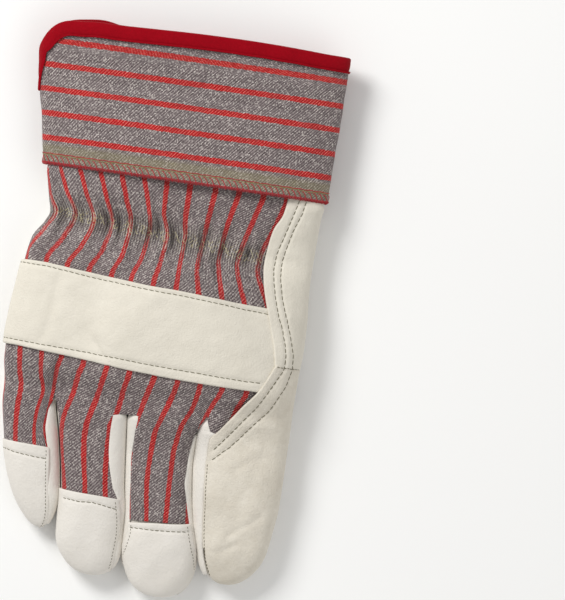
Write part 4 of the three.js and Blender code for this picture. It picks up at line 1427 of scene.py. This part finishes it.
keep(make("rim_binding", bv, bf, binding, bt), "binding", "cuff_binding")


def patch_grid(high=33, corner=13, half_wide=25.5):
    """The patch over the pulse, under the cuff: a straight strip with rounded upper corners."""
    grid = []
    for y in np.linspace(0, high, 44):
        up = max(0.0, y - (high - corner))
        half = half_wide - corner + math.sqrt(max(corner**2 - up**2, 0.0))
        x = -0.015 * HALF_CUFF + np.linspace(-half, half, 60)
        left, right, bottom, top_z, over, _ = cuff_row(np.full_like(x, y))
        u = np.clip(np.abs((x - (left + right) / 2) / ((right - left) / 2)), 0, 1)
        z = (bottom + top_z) / 2 - (top_z - bottom) / 2 * (1 - u**over) ** (1 / over)
        grid.append(grid_of(x, y, z - 0.4))
    return np.array(grid)


keep(sheet("pulse_patch_leather", patch_grid(), pale_hide, 1.3, up=False), "leather", "pulse_patch")

# ---------------------------------------------------------------- stitching
trees = {o.name: tree_of(o) for o in pieces}
sewn = Threads()


def sew_on(names, path, seed, threads=sewn, **how):
    points, normals = drop([trees[n] for n in names], path[:, 0], path[:, 1])
    if len(points) > 3:
        sew(threads, points, normals, seed=seed, **how)


def to_edge(path, ahead):
    """The part of a stitch line that ends where it goes in under the leather of the index side."""
    edge = np.where(path[:, 1] > -83.3, x_on(INDEX_SEAM, path[:, 1]), x_on(DIAGONAL, path[:, 1]))
    return path[path[:, 0] < edge - ahead]


for seed, path in ((1, strap_stitch_up), (2, strap_stitch_low)):
    sew_on(["knuckle_strap_leather"], to_edge(path, -0.6), seed)
index_side = ["thumb_wing_leather", "index_leather"]
for seed, path in ((3, seam_1), (4, seam_2)):
    sew_on(index_side, path[path[:, 1] < -0.5], seed)
sew_on(index_side, smooth_line(CROSS - np.array([0, 0.2])), 6, stitch=1.8)
short = {"stitch": 1.2, "gap": 0.5, "radius": 0.13}
for n in caps:
    sew_on([f"fingertip_{n}"], smooth_line(line(CAP_STITCH[n])), 7 + len(n), stitch=2.4)
    down = smooth_line(CAP_SEAMS[n][1:] + np.array([-0.75, -0.8]))
    sew_on([f"fingertip_{n}"], down, 20 + len(n), **short)
down = smooth_line(MIDDLE_CAP_LEFT[1:5] + np.array([0.8, -0.8]))
sew_on(["fingertip_middle"], down, 27, **short)
inner = smooth_line(INDEX_LEFT[6:-1] + np.array([0.5, 0]))
sew_on(["index_leather"], inner, 15, stitch=1.4, gap=0.3, radius=0.16)
keep(sewn.make("stitches", olive), "leather")

# the overlocked lower edge of the cuff
loop_length = along[-1]


def on_cuff(s, y, proud):
    """Points on the cuff's outer side, at a distance s round it and y above its lower edge."""
    y = np.asarray(y, float)
    c = np.interp(np.mod(s, loop_length), along, np.arange(cols))
    r = np.clip(y / (cuff_ys[1] - cuff_ys[0]), 0, rows - 2)
    c0, r0 = np.minimum(c.astype(int), cols - 2), r.astype(int)
    fc, fr = (c - c0)[:, None], (r - r0)[:, None]

    def at(grid):
        low = grid[r0, c0] * (1 - fc) + grid[r0, c0 + 1] * fc
        high = grid[r0 + 1, c0] * (1 - fc) + grid[r0 + 1, c0 + 1] * fc
        return low * (1 - fr) + high * fr

    p = at(cuff_out) + unit(at(n_out)) * proud[:, None]
    p[:, 1] += np.minimum(y, 0)
    return p


# A loop of the overlock: how far it lies along the edge, above it and out from the cloth.
HOOK = np.array([
    [-0.35, -0.75, -0.9],
    [-0.3, -0.55, 0.1],
    [-0.1, 0.5, 0.34],
    [0.4, 1.6, 0.36],
    [1.1, 2.8, 0.34],
    [1.9, 3.5, 0.2],
    [2.4, 3.5, -0.2],
])
edge_threads, edge_line, elastic = Threads(), Threads(), Threads()
rng = np.random.default_rng(4)
hook = between(np.arange(7), HOOK, np.linspace(0, 6, 19))
for k in (0, 1):
    hook[:, k] = np.convolve(np.pad(hook[:, k], 1, "edge"), [0.25, 0.5, 0.25], "valid")
s = 0.0
while s < loop_length - 3:
    d = rng.uniform(-0.2, 0.2, 6)
    path = on_cuff(s + 0.5 + hook[:, 0] + d[0] * 0.5, hook[:, 1] + d[1] * 0.5, hook[:, 2])
    edge_threads.add(path, 0.22, 5)
    s += 2.9 * (1 + 0.08 * d[2])
s = 0.0
t = np.linspace(0, 1, 6)
while s < loop_length - 1.2:
    path = on_cuff(s + 0.75 * t, 0.75 - 1.35 * t, 0.3 - 1.0 * np.maximum(t - 0.55, 0) * 2)
    edge_threads.add(path, 0.27, 5)
    s += 0.8
span = np.arange(0.5, loop_length - 0.5, 0.45)
chain = on_cuff(span, 4.6 + 0.12 * np.sin(span * 1.1), 0.12 + 0.12 * np.sin(span * 2.2))
edge_threads.add(chain, 0.22, 5)
chain = on_cuff(span, 4.05 + 0.2 * np.sin(span * 0.37 + 1), 0.08 + 0.13 * np.sin(span * 2.5))
edge_line.add(chain, 0.17, 5)
keep(edge_line.make("gold_edge_thread", gold), "binding")
keep(edge_threads.make("overlock_thread", red_thread), "binding")

# the elastic's zigzag thread, half sunk in the gathers
x = np.arange(-58, 44, 0.42)
for k, shift in enumerate((-1.3, 0.2, 1.7)):
    zig = 1.1 * (2 / PI) * np.arcsin(np.sin(2 * PI * x / 2.6 + k * 2.1))
    p, n = drop([trees["back_cloth"]], x, elastic_line(x) + shift + zig + 0.5 * np.sin(x / 3.1 + k))
    at = x[: len(p)]
    sink = 0.16 * np.sin(at * 1.9 + k * 1.3) + 0.12 * np.sin(at * 0.83 + k) - 0.17
    elastic.add(p + n * sink[:, None], 0.12, 5)
keep(elastic.make("elastic_threads", white_thread), "binding")

# ---------------------------------------------------------------- floor, light and camera
g = Graph("floor")
floor_shade = g.mix(g.noise(g.place(), 3, 2), colour("f6f5f3"), colour("f9f9f7"))
bpy.ops.mesh.primitive_plane_add(size=6, location=(0, 0, -0.0004))
floor = bpy.context.object
floor.name = "floor"
floor.data.materials.append(g.surface(floor_shade, 0.9, specular=0.1))

world = bpy.data.worlds.new("studio")
bpy.context.scene.world = world
world.use_nodes = True
background = world.node_tree.nodes["Background"].inputs
background[0].default_value = (1, 1, 1, 1)
background[1].default_value = 0.48
bpy.context.scene.view_settings.view_transform = "Standard"


def area(name, at, size, power):
    """A soft light that looks at the middle of the glove."""
    light = bpy.data.lights.new(name, "AREA")
    light.shape = "RECTANGLE"
    light.size = light.size_y = size
    light.energy = power
    obj = bpy.data.objects.new(name, light)
    bpy.context.scene.collection.objects.link(obj)
    obj.location = at
    obj.rotation_euler = (-Vector(at)).to_track_quat("-Z", "Y").to_euler()


area("key", (-0.85, 0.75, 1.05), 0.6, 17)
area("fill", (0.9, -0.5, 1.2), 1.2, 4)

DISTANCE, SEEN_WIDTH, SENSOR = 2.4, 0.267, 36
camera_data = bpy.data.cameras.new("camera")
camera_data.sensor_fit = "HORIZONTAL"
camera_data.sensor_width = SENSOR
camera_data.lens = SENSOR * DISTANCE / SEEN_WIDTH
camera = bpy.data.objects.new("camera", camera_data)
bpy.context.scene.collection.objects.link(camera)
camera.location = (0.05554, 0.01507, 0.02 + DISTANCE)
camera.rotation_euler = (0, 0, TILT)
bpy.context.scene.camera = camera

# ---------------------------------------------------------------- the scene brought up to date
bpy.context.view_layer.update()
